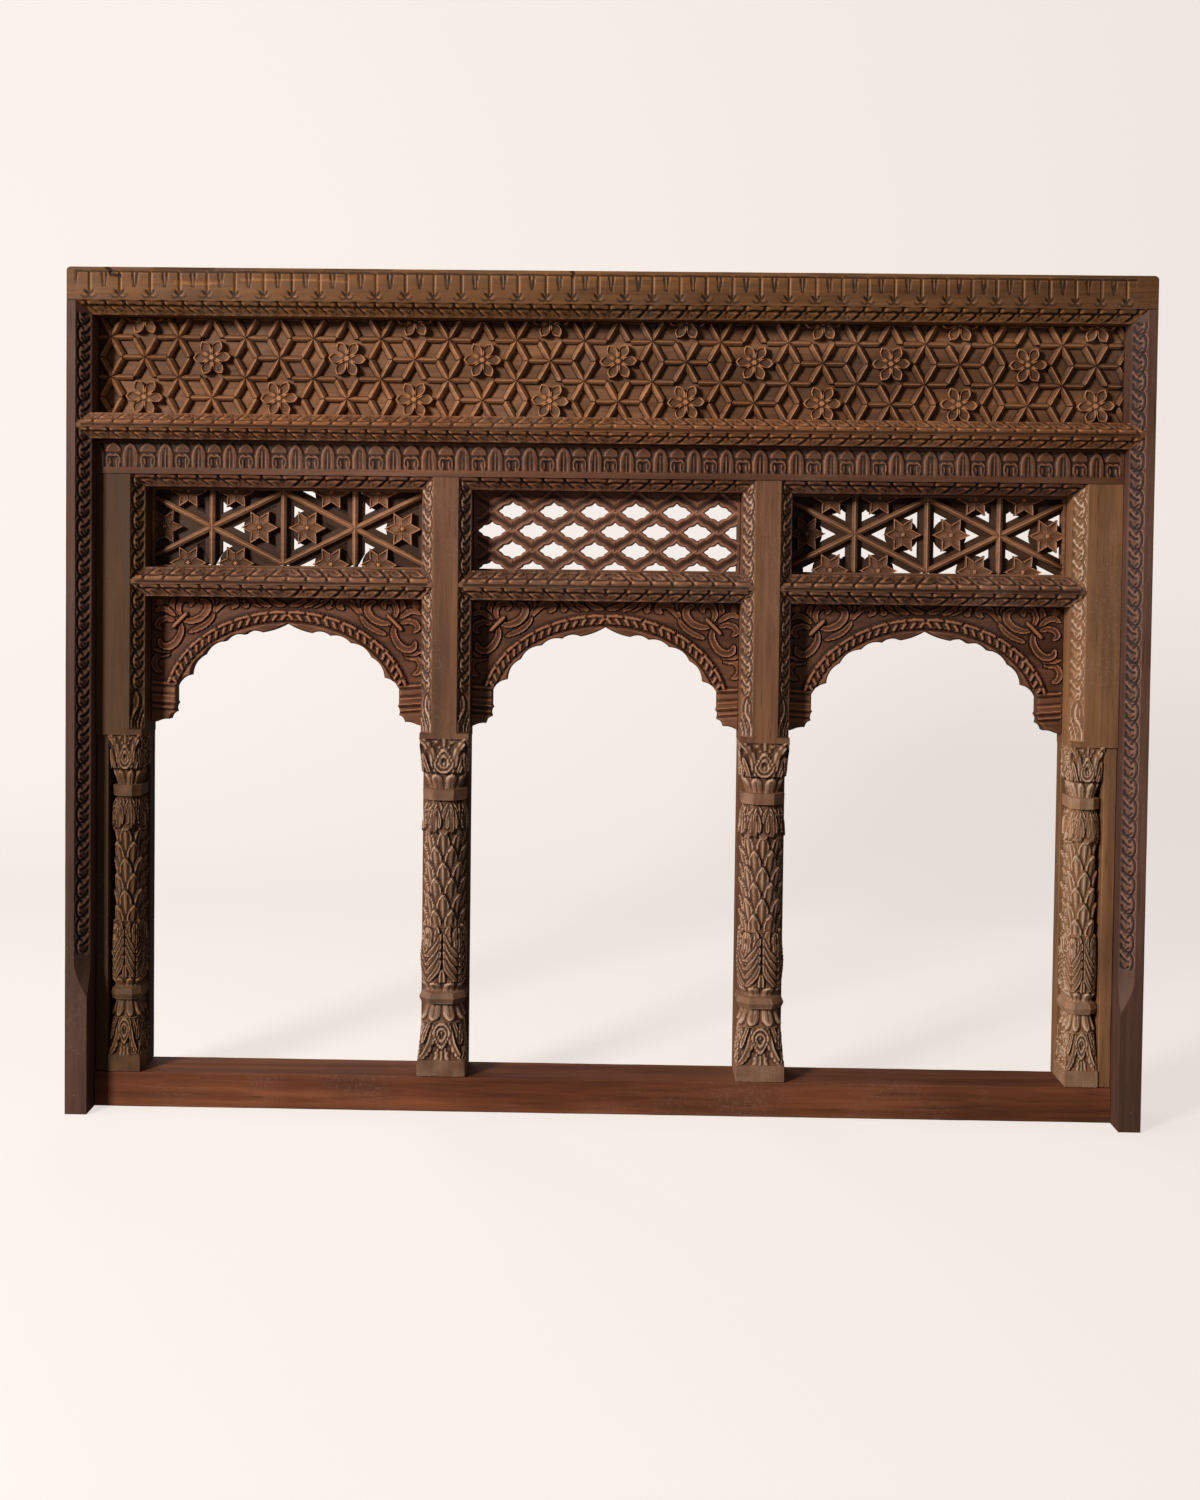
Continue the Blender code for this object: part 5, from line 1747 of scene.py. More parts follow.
@dataclass
class Column:
    """The carved column in the lower part of a post.

    Attributes:
        centre: Its middle in x.
        half: Half its width.
        root: The depth at which it meets the slab behind it.
        whole: Half the width that the rings are given for.
        scale: The width of a leaf of the scales.
        scale_top: Where the scales end, under the leaves that hang over them.
        rings: Its levels, from the foot up.
        rows: The carving on it.
    """

    centre: float
    half: float
    root: float = 112.0
    whole: float = 38.5
    scale: float = 27.0
    scale_top: float = 437.0
    rings: tuple[Ring, ...] = (
        Ring(55.3, 0.5, 1.0, False), Ring(80, 0.5, 1.0, False), Ring(83, 2, 6), Ring(110, 4, 9),
        Ring(138, 6.5, 11), Ring(140, 4.5, 13), Ring(166, 9, 15), Ring(168, 5, 17, False),
        Ring(176.5, 1.5, 18, False), Ring(185, 5, 17, False), Ring(187, 9.5, 15),
        Ring(201, 5, 14), Ring(240, 2.5, 16), Ring(287, 6, 17), Ring(292, 8, 18),
        Ring(433, 8, 18), Ring(438, 3.5, 16), Ring(470, 4.5, 16), Ring(485, 9.5, 16),
        Ring(487, 5, 18, False), Ring(504, 4.5, 18, False), Ring(506, 10, 15), Ring(528, 7, 12),
        Ring(531, 3, 10), Ring(560, 2, 7), Ring(584.5, 0.6, 2, False),
    )
    rows: tuple[Row, ...] = (
        Row(Motif.CAPITAL, 138, 81), Row(Motif.LAPPET, 167, 139, 2.0, 0.0),
        Row(Motif.LAPPET, 187, 202, 2.0, 0.0), Row(Motif.CALYX, 201, 292),
        Row(Motif.SCALE, 291, 341), Row(Motif.DROOPING, 486, 436, 2.0, 0.0),
        Row(Motif.LAPPET, 505, 529, 2.0, 0.0), Row(Motif.CAPITAL, 529, 584),
    )

    def outline(self, ring: Ring) -> tuple[Array, Array]:
        """A level's outline from the left root round the front to the right root.

        Args:
            ring: The level.

        Returns:
            Points (x from the middle, depth), and the distance from the front's middle.
        """
        scale = self.half / self.whole
        w = self.half - ring.inset * scale
        f = POST_FRONT + ring.inset * scale
        cut = ring.cut * scale
        radius = min(cut * (1.6 if ring.round else 1.0), w - 0.5)
        turn = np.linspace(0, math.pi / 2, 23)
        if ring.round:
            corner = np.stack(
                [w - radius + radius * np.sin(turn), f + radius - radius * np.cos(turn)], -1
            )
        else:
            t = np.linspace(0, 1, 23)[:, None]
            corner = np.array([w - radius, f]) * (1 - t) + np.array([w, f + radius]) * t
        flat = np.linspace(0, 1, 8, endpoint=False)[:, None] * np.array([w - radius, 0]) + (0, f)
        side = corner[-1] + np.linspace(0, 1, 18)[1:, None] * (
            np.array([w, self.root]) - corner[-1]
        )
        half = np.vstack([flat, corner, side])
        step = np.hypot(*np.diff(half, axis=0).T)
        run = np.concatenate([[0], np.cumsum(step)])
        points = np.vstack([half[::-1] * (-1, 1), half[1:]])
        return points, np.concatenate([-run[::-1], run[1:]])

    def add_to(self, skin: Skin) -> None:
        """Adds the column to a skin."""
        heights = [ring.z for ring in self.rings]
        levels = stations(heights[0], heights[-1], also=heights)
        table = [self.outline(ring) for ring in self.rings]
        shapes = np.array([points for points, _ in table])
        runs = np.array([run for _, run in table])
        count = shapes.shape[1]
        grid = np.zeros((len(levels), count, 3))
        grid[..., 2] = levels[:, None]
        run = np.zeros((len(levels), count))
        for i in range(count):
            for out, values in (
                (grid[:, i, 0], shapes[:, i, 0]), (grid[:, i, 1], shapes[:, i, 1]),
                (run[:, i], runs[:, i]),
            ):
                out[:] = np.interp(levels, heights, values)
        grid[..., 0] += self.centre
        middle = count // 2
        corner_run = np.abs(run[:, middle + 18])[:, None]
        unit = run / (2 * corner_run)
        z = np.broadcast_to(levels[:, None], run.shape)
        along, across = np.zeros(run.shape), np.zeros(run.shape)
        reach, motif = np.zeros(run.shape), np.zeros(run.shape, dtype=int)
        for row in self.rows:
            low, high = min(row.start, row.stop), max(row.start, row.stop)
            scales = row.motif is Motif.SCALE
            high = self.scale_top if scales else high
            inside = (z > low) & (z < high)
            share = (z - row.start) / (row.stop - row.start)
            repeats = run / self.scale if scales else unit * row.unit
            away = np.minimum(z - low, high - z)
            root = (self.root - grid[..., 1]) / 8
            along = np.where(inside, repeats + row.lead, along)
            across = np.where(inside, share, across)
            reach = np.where(inside, eased(away / 1.6 + 0.25) * eased(root), reach)
            motif = np.where(inside, row.motif.value, motif)
        skin.grid(grid, along=along, across=across, reach=reach, motif=motif, carve=0.18)
        skin.face(grid[0])
        skin.face(grid[-1])
        skin.grid(grid[:, [0, -1]])


@dataclass
class Post:
    """A post: carved chamfers above a square block, and a carved column below it.

    Attributes:
        node: The frame's node it stands for.
        slot: Its material slot's name; not used.
        side: Which side of the window it stands on.
        outer: Its outer face, away from the middle of the window.
        inner: Its inner face.
        jamb: Whether it stands against a stile, with a chamfer on one side only.
        block: The height at which the upper part starts.
        stop: Where the chamfers start.
        pitch: The pitch of the carving.
    """

    node: str
    slot: str
    side: Side
    outer: float
    inner: float
    jamb: bool = False
    block: float = 583.0
    stop: float = 592.0
    pitch: float = 31.0

    def build(self, shop: Workshop, wood: Wood) -> None:
        """Builds the post and mounts it."""
        places = stations(self.block, LOTUS_BOTTOM, POST_STEP, (self.stop, self.stop + 0.1))
        full = places > self.stop + 0.05
        cut = POST_CHAMFER
        inner_edge = self.inner + cut * full
        outer_edge = self.outer - (0 if self.jamb else cut) * full

        def chamfer_depth() -> Array:
            """The depth of a chamfer's back edge at each station."""
            return POST_FRONT + np.where(full, cut, 0.1)

        def column(x: Array | float, depth: Array | float) -> Array:
            """A corner of the section at every station."""
            return np.stack(np.broadcast_arrays(x + 0 * places, depth + 0 * places), -1)

        def high(x: Array, depth: Array) -> Array:
            """The post's top at a point of its section."""
            short = np.maximum(self.inner + cut - x, 0)
            if not self.jamb:
                short = np.maximum(short, np.maximum(x - (self.outer - cut), 0))
            return LOTUS_BOTTOM - SLIT - short

        span = (self.stop + 62, LOTUS_BOTTOM)
        fillets = (1.6, 1.0)
        foot = (self.stop + 1, self.stop + 63)

        def bands(turned: bool) -> tuple[Band, ...]:
            """The carving of one chamfer."""
            weave = Band(Motif.GUILLOCHE, *span, self.pitch, span[0], turned=turned, edges=fillets)
            flame = Band(Motif.FLAME, *foot, 64.0, foot[0], turned=turned, edges=fillets)
            return weave, flame

        facets = [
            Facet(column(inner_edge, POST_FRONT), 5),
            Facet(column(outer_edge, POST_FRONT), *(() if self.jamb else (14, bands(False)))),
            Facet(column(self.outer, chamfer_depth()), 3), Facet((self.outer, DEEP)),
            Facet((self.outer - cut, DEEP)), Facet((self.inner + cut, DEEP)),
            Facet((self.inner, DEEP), 3),
            Facet(column(self.inner, chamfer_depth()), 14, bands(True)),
        ]
        caps = ((0, 1, 2, 3, 4, 5),) if self.jamb else ((0, 1, 4, 5), (1, 2, 3, 4))
        if self.jamb:
            facets[1].corner = column(outer_edge - 0.05, POST_FRONT)
            facets[2].corner = column(self.outer, POST_FRONT + 0.05)
        caps += ((5, 6, 7, 8),)
        low = flat_end(self.block)
        skin = swept(Axis.Z, facets, places, low, high, caps_high=caps, side=self.side)
        self.add_lower(skin)
        motifs = (
            Motif.GUILLOCHE, Motif.FLAME, Motif.CAPITAL, Motif.LAPPET, Motif.DROOPING,
            Motif.SCALE, Motif.CALYX,
        )
        shop.deliver(skin.mesh(self.node), self.node, wood, motifs)

    def add_lower(self, skin: Skin) -> None:
        """Adds the column, the slab behind it and a jamb's plain strip."""
        way = self.side.value
        low, high = sorted((way * self.inner, way * self.outer))
        if self.jamb:
            split = self.inner + 52.0
            Column(way * (self.inner + split) / 2, 26.0).add_to(skin)
            a, b = sorted((way * split, way * self.outer))
            skin.box((a, 46.0, POST_FOOT), (b, DEEP, self.block + 0.5), 0.8)
        else:
            Column((low + high) / 2, 38.5).add_to(skin)
        skin.box((low + 0.6, 102.0, POST_FOOT), (high - 0.6, DEEP, self.block + 0.5), 0.8)


@dataclass
class Sill:
    """The plain bottom beam, with worn arrises."""

    height: float = 54.8

    def build(self, shop: Workshop, wood: Wood) -> None:
        """Builds the sill and mounts it."""
        side = STILE_INNER - GAP
        r = 1.6
        f, h = POST_FRONT, self.height
        facets = [
            Facet((f, h - r), 6), Facet((f, r)), Facet((f + r, 0.0), 2), Facet((DEEP - r, 0.0)),
            Facet((DEEP, r), 2), Facet((DEEP, h - r)), Facet((DEEP - r, h), 6),
            Facet((f + r, h), 2),
        ]
        places = stations(-side, side, 6.0)
        skin = swept(Axis.X, facets, places, flat_end(-side), flat_end(side))
        shop.deliver(skin.mesh("sill"), "sill", wood, worked=0.9)


def trimmed(mesh: Mesh, planes: Sequence[tuple[Sequence[float], Sequence[float]]]) -> None:
    """Cuts closed bodies off at planes and closes the cuts.

    Args:
        mesh: The mesh.
        planes: A point in millimetres and an outward direction for each plane.
    """
    work = bmesh.new()
    work.from_mesh(mesh)
    for point, normal in planes:
        place = Vector((point[0] * MM, point[1] * MM + CAD_BOX[0][1], point[2] * MM))
        parts = [*work.verts, *work.edges, *work.faces]
        bmesh.ops.bisect_plane(
            work, geom=parts, dist=1e-6, plane_co=place, plane_no=normal, clear_outer=True
        )
        rim = [edge for edge in work.edges if edge.is_boundary]
        if rim:
            bmesh.ops.holes_fill(work, edges=rim, sides=0)
    bmesh.ops.recalc_face_normals(work, faces=work.faces)
    work.to_mesh(mesh)
    work.free()


def field_cuts(left: float, right: float, low: float, high: float) -> list:
    """The four planes around a board: its field between posts and rails."""
    return [
        ((left, 0, 0), (-1, 0, 0)), ((right, 0, 0), (1, 0, 0)), ((0, 0, low), (0, 0, -1)),
        ((0, 0, high), (0, 0, 1)),
    ]


def ridge_bar(
    length: float, half: float, rise: float, depth: float, point: Point, age: float = 0.0,
    flare: float = 0.0,
) -> Skin:
    """A lattice bar from (0, 0) along x, with a roof ridge. Depth 0 is its ridge.

    Args:
        length: Its length.
        half: Half its width.
        rise: The height of its slopes.
        depth: Its whole depth.
        point: How far from each end the taper starts.
        age: How much darker than usual it is painted, as painted shade.
        flare: How much wider it is at its foot.

    Returns:
        The bar's skin, with its place counted from the frame's front plane.
    """
    skin = Skin()
    places = [0.0, point[0] * 0.5, point[0], length * 0.5, length - point[1], length]
    rows = []
    for x, share in zip(places, (0.02, 0.5, 1.0, 1.0, 1.0, 0.02)):
        w, low = half * share, rise * share
        crest = [(-w, low), (-0.26 * w, 0.20 * low), (0, 0), (0.26 * w, 0.20 * low), (w, low)]
        foot = w + flare * share
        ring = [(-foot, depth), *crest, (foot, depth), (-foot, depth)]
        rows.append([(x, d, z) for z, d in ring])
    grid = np.array(rows)
    # Painted shade on the flared sides and at the foot, where shadow falls beside a bar; the pale
    # ridge is wear.
    wear = np.array([-0.95, -0.05, 0.12, 0.75, 0.12, -0.05, -0.95, -0.95])
    along = np.array([0.0, 0.6, 1, 1, 1, 0.6])
    skin.grid(grid, carve=np.clip(wear * along[:, None] - age, -1, 1))
    skin.face(grid[0][:-1])
    skin.face(grid[-1][:-1])
    return skin


def off_petal(angle: Array) -> Array:
    """How far an angle lies from the nearest of six rays."""
    return np.abs((angle + SIXTH / 2) % SIXTH - SIXTH / 2)


def boards(name: str, *boxes: tuple[Spot, Spot], dark: bool = False) -> Mesh:
    """The mesh of plain boards, each between its lowest and highest x, depth and z."""
    skin = Skin()
    for low, high in boxes:
        skin.box(low, high, 0.6)
    # Painted shade: dark boards stand in for the shadow behind a fret.
    if dark:
        skin.paint_shade()
    return skin.mesh(name)


def open_bay(bay: str) -> Point:
    """The left and right ends of the board that fills a bay above its transom."""
    left, right = BAYS[bay]
    return left + SLIT, right - SLIT


def polar_flower(
    radius: float, depth: float, outline: Callable[[Array], Array],
    height: Callable[[Array, Array], Array], turns: int, rings: int, worn: Point = (-0.25, 0.6),
) -> Skin:
    """A flower head about (0, 0): a dished front on straight sides. Depth 0 is its top.

    Args:
        radius: Its largest radius.
        depth: Its whole depth.
        outline: The share of the radius at an angle.
        height: How far below the top it lies, from the angle and the share of the way out.
        turns: How many steps there are around.
        rings: How many steps there are from the middle out.
        worn: How dark its lowest places and how pale its highest places are: painted shade low,
            wear high.

    Returns:
        The flower's skin.
    """
    skin = Skin()
    angle = np.linspace(0, 2 * math.pi, turns + 1)
    share = np.linspace(0, 1, rings + 1)
    reach = radius * outline(angle)
    out = share[:, None] * reach[None, :]
    drop = height(angle[None, :] + 0 * out, share[:, None] + 0 * out)
    front = np.stack([out * np.cos(angle), drop, out * np.sin(angle)], -1)
    # Painted shade in the hollows, wear on the rims.
    wear = np.clip(worn[1] - 0.5 * (drop - np.percentile(drop, 12)), *worn)
    foot = front[-1:].copy()
    foot[..., 1] = depth
    grid = np.concatenate([front, foot])
    # The straight sides are painted dark, as painted shade.
    carve = np.concatenate([wear, np.full((1, turns + 1), -0.8)])
    skin.grid(grid, carve=carve)
    skin.face(foot[0][:-1])
    return skin


def add_back(skin: Skin, front: Array, depth: float) -> None:
    """Closes a grid's front with straight sides and a flat back.

    Args:
        skin: Where the faces go.
        front: The front's places, of shape (rows, columns, 3).
        depth: The depth of the back.
    """
    flat = front.copy()
    flat[..., 1] = depth
    edges = [
        (front[0], flat[0]), (front[-1], flat[-1]), (front[:, 0], flat[:, 0]),
        (front[:, -1], flat[:, -1]),
    ]
    for near, far in edges:
        skin.grid(np.stack([near, far]))
    ring = np.concatenate([flat[0, :-1], flat[:-1, -1], flat[-1, :0:-1], flat[:0:-1, 0]])
    skin.face(ring)


def joined(meshes: Sequence[Mesh], name: str) -> Mesh:
    """Puts several meshes' closed bodies in one mesh, with their wear."""
    work = bmesh.new()
    for mesh in meshes:
        work.from_mesh(mesh)
    out = bpy.data.meshes.new(name)
    for label in Skin.NUMBERS:
        out.attributes.new(label, "FLOAT", "POINT")
    work.to_mesh(out)
    work.free()
    return out


def set_out(shop: Workshop, skin: Skin, places: Sequence[Spot], top: float, wood: Wood) -> Mesh:
    """Sets a member out on a lattice with the tree and returns the plain mesh.

    Args:
        shop: The workshop.
        skin: The member.
        places: x, z and turn of each copy.
        top: The depth at which the member's depth 0 lies.
        wood: Its finish.

    Returns:
        The mesh with every copy in it.
    """
    helper = placed("member", skin.mesh("member", 40))
    mesh = bpy.data.meshes.new(helper.name + "_places")
    points = [(x * MM, top * MM, z * MM) for x, z, _ in places]
    mesh.from_pydata(points, [], [])
    record(mesh, "turn", np.array([turn for _, _, turn in places], dtype=float))
    lattice = placed(helper.name + "_lattice", mesh)
    Trees.use(lattice, shop.trees.setting, Member=helper, Material=shop.material(wood))
    out = plain_mesh(lattice)
    bpy.data.objects.remove(lattice)
    bpy.data.objects.remove(helper)
    return out


def fit_fret(shop: Workshop, meshes: Sequence[Mesh], bay: str, wood: Wood, worked: float) -> None:
    """Joins a fret's parts, cuts them to the field of its bay and mounts them."""
    mesh = joined(meshes, bay + "_fret")
    trimmed(mesh, field_cuts(*open_bay(bay), FRET_LOW, FRET_HIGH))
    shop.deliver(mesh, bay + "_fret", wood, worked=worked)


@dataclass
class Frieze:
    """The frieze: a lattice of ridged bars with six-petalled flowers in it.

    Attributes:
        step_x: The distance between columns of nodes.
        step_z: Half the distance between nodes of a column.
        origin: One node.
        bar: The length of a bar.
        point: How far its tapers reach at its ends.
        bottom: The height of its lower edge.
        top: The depth of the bars' ridges.
        floor: The depth of the ground behind them.
        back: The depth of its back.
        flower: The radius of a flower.
        flower_top: The depth of a flower's rims.
    """

    step_x: float = 52.4
    step_z: float = 30.95
    origin: Point = (14.8, 1169.9)
    bar: float = 35.1
    point: Point = (9.0, 3.0)
    bottom: float = 1081.3
    top: float = 51.6
    floor: float = 62.0
    back: float = 80.0
    flower: float = 29.5
    flower_top: float = 48.4

    def nodes(self) -> list[tuple[float, float, bool]]:
        """Every node of the lattice: x, z, and whether a flower sits on it."""
        found = []
        for column in range(-16, 16):
            for row in range(-2, 3):
                x = self.origin[0] + column * self.step_x
                z = self.origin[1] + (2 * row - column % 2) * self.step_z
                blossom = column % 4 == (0 if row % 2 == 0 else 2)
                lost = column == -10 and row == 1
                found.append((x, z, blossom and not lost))
        return found

    @staticmethod
    def petals(angle: Array) -> Array:
        """The outline of six broad petals that end in a small point."""
        near = off_petal(angle) / (SIXTH / 2)
        return 0.40 + 0.53 * (1 - near**2.6) + 0.07 * held(1 - near / 0.22)

    def dish(self, angle: Array, share: Array) -> Array:
        """How deep the petals' hollow is: raised rims, a crease, a boss in the middle."""
        near = off_petal(angle)
        radius = share * self.petals(angle) * self.flower
        rim = (1 - share) * self.petals(angle) * self.flower * 0.8
        seam = radius * np.sin(SIXTH / 2 - near)
        edge = np.minimum(rim, seam)
        bowl = 3.2 * eased((edge - 1.6) / 2.4)
        round_off = 1 - np.sqrt(held(edge / 0.8))
        crease = 0.6 * held(1 - near / 0.12) * eased((edge - 3) / 3)
        heart = held(1 - radius / 7.0)
        boss = 4.2 * dome(radius / 3.6)
        moat = 2.0 * crest(radius, 5.6, 2.2)
        return np.maximum(bowl + round_off + crease + moat + 1.6 * heart - boss, -0.2)

    def build(self, shop: Workshop, wood: Wood) -> None:
        """Builds the frieze and mounts it."""
        side = STILE_INNER - GAP
        low, high = self.bottom, HEAD_BOTTOM - GAP
        bars, lows, flowers = [], [], []
        for x, z, blossom in self.nodes():
            if blossom:
                flowers.append((x, z, 0.05 * math.sin(x * 0.7 + z)))
                continue
            for k, degrees in enumerate((0, 60.5, 119.5, 180, 240.5, 299.5)):
                (bars if k % 3 else lows).append((x, z, -math.radians(degrees)))
        bar = ridge_bar(self.bar, half=5.0, rise=4.6, depth=11.5, point=self.point, flare=2.6)
        thin = ridge_bar(self.bar, half=3.7, rise=3.2, depth=10.5, point=self.point, flare=2.0)
        flower = polar_flower(
            self.flower, 14.5, self.petals, self.dish, turns=72, rings=17, worn=(-0.4, 0.9)
        )
        sets = (
            (bar, bars, self.top), (thin, lows, self.top + 1.0), (flower, flowers, self.flower_top)
        )
        meshes = [set_out(shop, *members, wood) for members in sets]
        floor = Skin()
        x = stations(-side, side, 5.0)
        z = np.linspace(low, high, 31)
        grid_x, grid_z = np.meshgrid(x, z, indexing="ij")
        sunk = 0.8 * np.sin(grid_x / 9.7 + 2 * np.sin(grid_z / 13)) * np.sin(grid_z / 7.3)
        place = np.stack([grid_x, self.floor + 0.8 + sunk, grid_z], -1)
        # The sunk floor is painted slightly dark, as painted shade behind the bars.
        floor.grid(place, carve=-0.22)
        add_back(floor, place, self.back)
        cuts = field_cuts(-side, side, low, high)
        mesh = joined([*meshes, floor.mesh("frieze_floor")], "frieze")
        trimmed(mesh, cuts[2:] + cuts[:2])
        shop.deliver(mesh, "frieze_panel", wood, worked=0.7)


@dataclass
class StarFret:
    """A side fret: ridged bars on a star grid with a six-pointed flower in each triangle.

    Attributes:
        bay: Which bay it fills.
        shift: How far its middle lies from the bay's.
        column: The distance between upright bars.
        row: The rise of a slanting bar.
        level: The height of its middle.
        flower: The radius of a flower.
        blind: Whether the wood behind closes the sectors left of each star, and not the
            feet of the upright bars.
        cover: Half the width of the wood behind a bar.
        shut: How wide a strip the wood behind closes at the left end and along the top.
    """

    bay: str
    shift: float = 0.0
    blind: bool = False
    cover: float = 13.5
    shut: tuple[float, float] = (70.0, 0.0)
    column: float = 113.2
    row: float = 57.0
    level: float = 908.5
    flower: float = 30.0

    @staticmethod
    def points(angle: Array) -> Array:
        """The outline of a six-pointed star."""
        near = off_petal(angle)
        return 0.275 / (0.275 * np.cos(near) + 0.524 * np.sin(near))

    @staticmethod
    def crease(angle: Array, share: Array) -> Array:
        """How deep the flower lies: raised rims, a crease along each petal, a boss."""
        near = off_petal(angle) / (SIXTH / 2)
        rim = held((share - 0.76) / 0.12)
        bowl = (1 - rim) * (3.2 - 1.6 * near) * held(share * 2.2)
        parting = 1.5 * held(1 - (1 - near) / 0.10) * held(share * 2)
        lift = 2.2 * dome(share / 0.15)
        moat = 1.3 * crest(share, 0.20, 0.06)
        edge = 0.9 * held((share - 0.95) / 0.05)
        return np.maximum(bowl + parting + moat + edge + 0.9 - lift, 0.0)

    def places(self, centre: float, reach: float) -> tuple[list[Spot], ...]:
        """Sets out the bars, the flowers and the round pieces of wood behind them.

        Args:
            centre: The middle of the fret.
            reach: The length of a slanting bar.

        Returns:
            The x, z and turn of every bar, every flower and every round piece.
        """
        slant = math.atan2(self.row, self.column)
        third = self.column / 3
        z = self.level
        bars, flowers, plugs = [], [], []
        for column in range(-3, 4):
            x = centre + column * self.column
            bars.append((x, z - reach / 2, -math.pi / 2))
            spots = {-3: [4 * third], -1: [-2 * third, 2 * third], 1: [-2 * third, 2 * third]}
            if column % 2:
                flowers += [(x + dx, z, 0.0) for dx in spots.get(column, [])]
            for way in (-1, 1):
                level = z + way * self.row
                if column % 2:
                    bars += [(x, z, -way * slant), (x, z, math.pi - way * slant)]
                    flowers += [(x - third, level, 0.0), (x + third, level, 0.0)]
                if self.blind:
                    node = z if column % 2 else level
                    plugs += [(x - 20, node + side * 34, 0.0) for side in (-1, 1)]
                    plugs.append((x - 38, node, 0.0))
                elif column % 2:
                    plugs.append((x, level, 0.0))
        return bars, flowers, flowers + plugs

    def build(self, shop: Workshop, wood: Wood) -> None:
        """Builds the fret and mounts it."""
        left, right = open_bay(self.bay)
        reach = math.hypot(self.row, self.column)
        bars, flowers, plugs = self.places((left + right) / 2 + self.shift, reach)
        meshes = []
        front = {"half": 4.7, "rise": 3.4, "depth": 24.0}
        # The bars behind are painted dark as painted shade in the fret's depth.
        behind = {"half": self.cover, "rise": 2.0, "depth": 13.0, "age": 1.3}
        for sizes, top in ((front, 0.5), (behind, 12.0)):
            point = (sizes["half"] * 1.73, sizes["half"] * 0.9)
            bar = ridge_bar(reach, point=point, **sizes)
            meshes.append(set_out(shop, bar, bars, BOARD_FRONT + top, wood))
        star = polar_flower(
            self.flower, 14.0, self.points, self.crease, turns=84, rings=15, worn=(-0.3, 1.0)
        )
        meshes.append(set_out(shop, star, flowers, BOARD_FRONT + 0.3, wood))
        flat: Limit = lambda angle, share: np.full_like(share, 3.0)
        plug = polar_flower(self.cover * 2.1, 11.0, np.ones_like, flat, turns=20, rings=2)
        # Painted shade: the round pieces behind are painted as dark as the deepest hollows.
        plug.paint_shade()
        meshes.append(set_out(shop, plug, plugs, BOARD_FRONT + 12.5, wood))
        near, far = BOARD_FRONT + 1, BOARD_BACK
        meshes.append(
            boards(
                "fret_rim", ((left, near, FRET_LOW), (left + 4.5, far, FRET_HIGH)),
                ((right - 4.5, near, FRET_LOW), (right, far, FRET_HIGH)),
                ((left, near, FRET_LOW), (right, far, FRET_LOW + 4.0)),
                ((left, near, FRET_HIGH - 4.0), (right, far, FRET_HIGH)),
            )
        )
        end, top = self.shut
        near, far = BOARD_FRONT + 13, BOARD_FRONT + 24
        behind = [((left, near, FRET_LOW), (left + end, far, FRET_HIGH))]
        if top:
            high = (right - 1, far - 1, FRET_HIGH - 1)
            behind.append(((left + 1, near + 1, FRET_HIGH - top), high))
        # Painted shade: the boards behind are painted dark.
        meshes.append(boards("fret_board", *behind, dark=True))
        fit_fret(shop, meshes, self.bay, wood, 0.7)


@dataclass
class NetFret:
    """The middle fret: wavy strands that meet and part like a net.

    Attributes:
        pitch: The length of one wave.
        wave: Half the height of a wave.
        half: Half the width of a strand.
        top: The height of the uppermost strand.
        drop: The distance from strand to strand.
        shift: Where the waves of the even strands lie.
    """

    pitch: float = 65.0
    wave: float = 8.0
    half: float = 10.2
    top: float = 954.5
    drop: float = 31.0
    shift: float = 13.5

    def strand(self) -> Skin:
        """One wave of a strand, with two raised rims and a hollow between them."""
        skin = Skin()
        x = np.linspace(-self.pitch / 2, self.pitch / 2, 45)
        phase = 2 * math.pi * x / self.pitch
        z = -self.wave * np.cos(phase) - 1.3 * np.cos(3 * phase)
        slope = np.gradient(z, x)
        size = np.hypot(1, slope)
        across = np.array([-1, -1, -0.82, -0.66, -0.45, -0.22, 0, 0.22, 0.45, 0.66, 0.82, 1, 1])
        depth = np.array([26, 3.2, 1.3, 0.4, 1.5, 2.6, 3.0, 2.6, 1.5, 0.4, 1.3, 3.2, 26])
        # The sides and the middle hollow are painted dark as painted shade; the rims pale with
        # wear.
        wear = np.array([-0.8, -0.1, 0.4, 0.8, 0.1, -0.5, -0.7, -0.5, 0.1, 0.8, 0.4, -0.1, -0.8])
        width = self.half * (1 + 0.10 * np.cos(2 * phase) + 0.07 * np.cos(6 * phase))
        w = across[None, :] * width[:, None]
        place = np.zeros((len(x), len(across), 3))
        place[..., 0] = x[:, None] - w * (slope / size)[:, None]
        place[..., 1] = depth[None, :]
        place[..., 2] = z[:, None] + w / size[:, None]
        skin.grid(place, carve=wear[None, :] + 0 * w)
        # The back is painted dark as painted shade.
        skin.grid(place[:, [-1, 0]], carve=-0.5)
        skin.face(place[0])
        skin.face(place[-1])
        return skin

    def build(self, shop: Workshop, wood: Wood) -> None:
        """Builds the fret and mounts it."""
        left, right = open_bay("centre")
        places = []
        for row in range(4):
            offset = self.shift + (self.pitch / 2 if row % 2 else 0)
            for column in range(-5, 5):
                x = offset + column * self.pitch
                places.append((x, self.top - row * self.drop, 0.0))
        meshes = [set_out(shop, self.strand(), places, BOARD_FRONT + 0.4, wood)]
        near, far = BOARD_FRONT, BOARD_BACK
        meshes.append(
            boards(
                "net_margin", ((left, near + 1.0, FRET_LOW), (left + 7.0, far, FRET_HIGH)),
                ((right - 5.0, near + 1.0, FRET_LOW), (right, far, FRET_HIGH)),
                ((left, near + 1.2, FRET_LOW), (right, far, FRET_LOW + 3.4)),
                ((left, near + 4.0, 955.0), (right, far, FRET_HIGH)),
                ((left, near + 4.5, 924.0), (left + 28.0, far, 956.0)),
                ((left, near + 4.5, 862.0), (left + 28.0, far, 892.0)),
            )
        )
        fit_fret(shop, meshes, "centre", wood, 0.9)


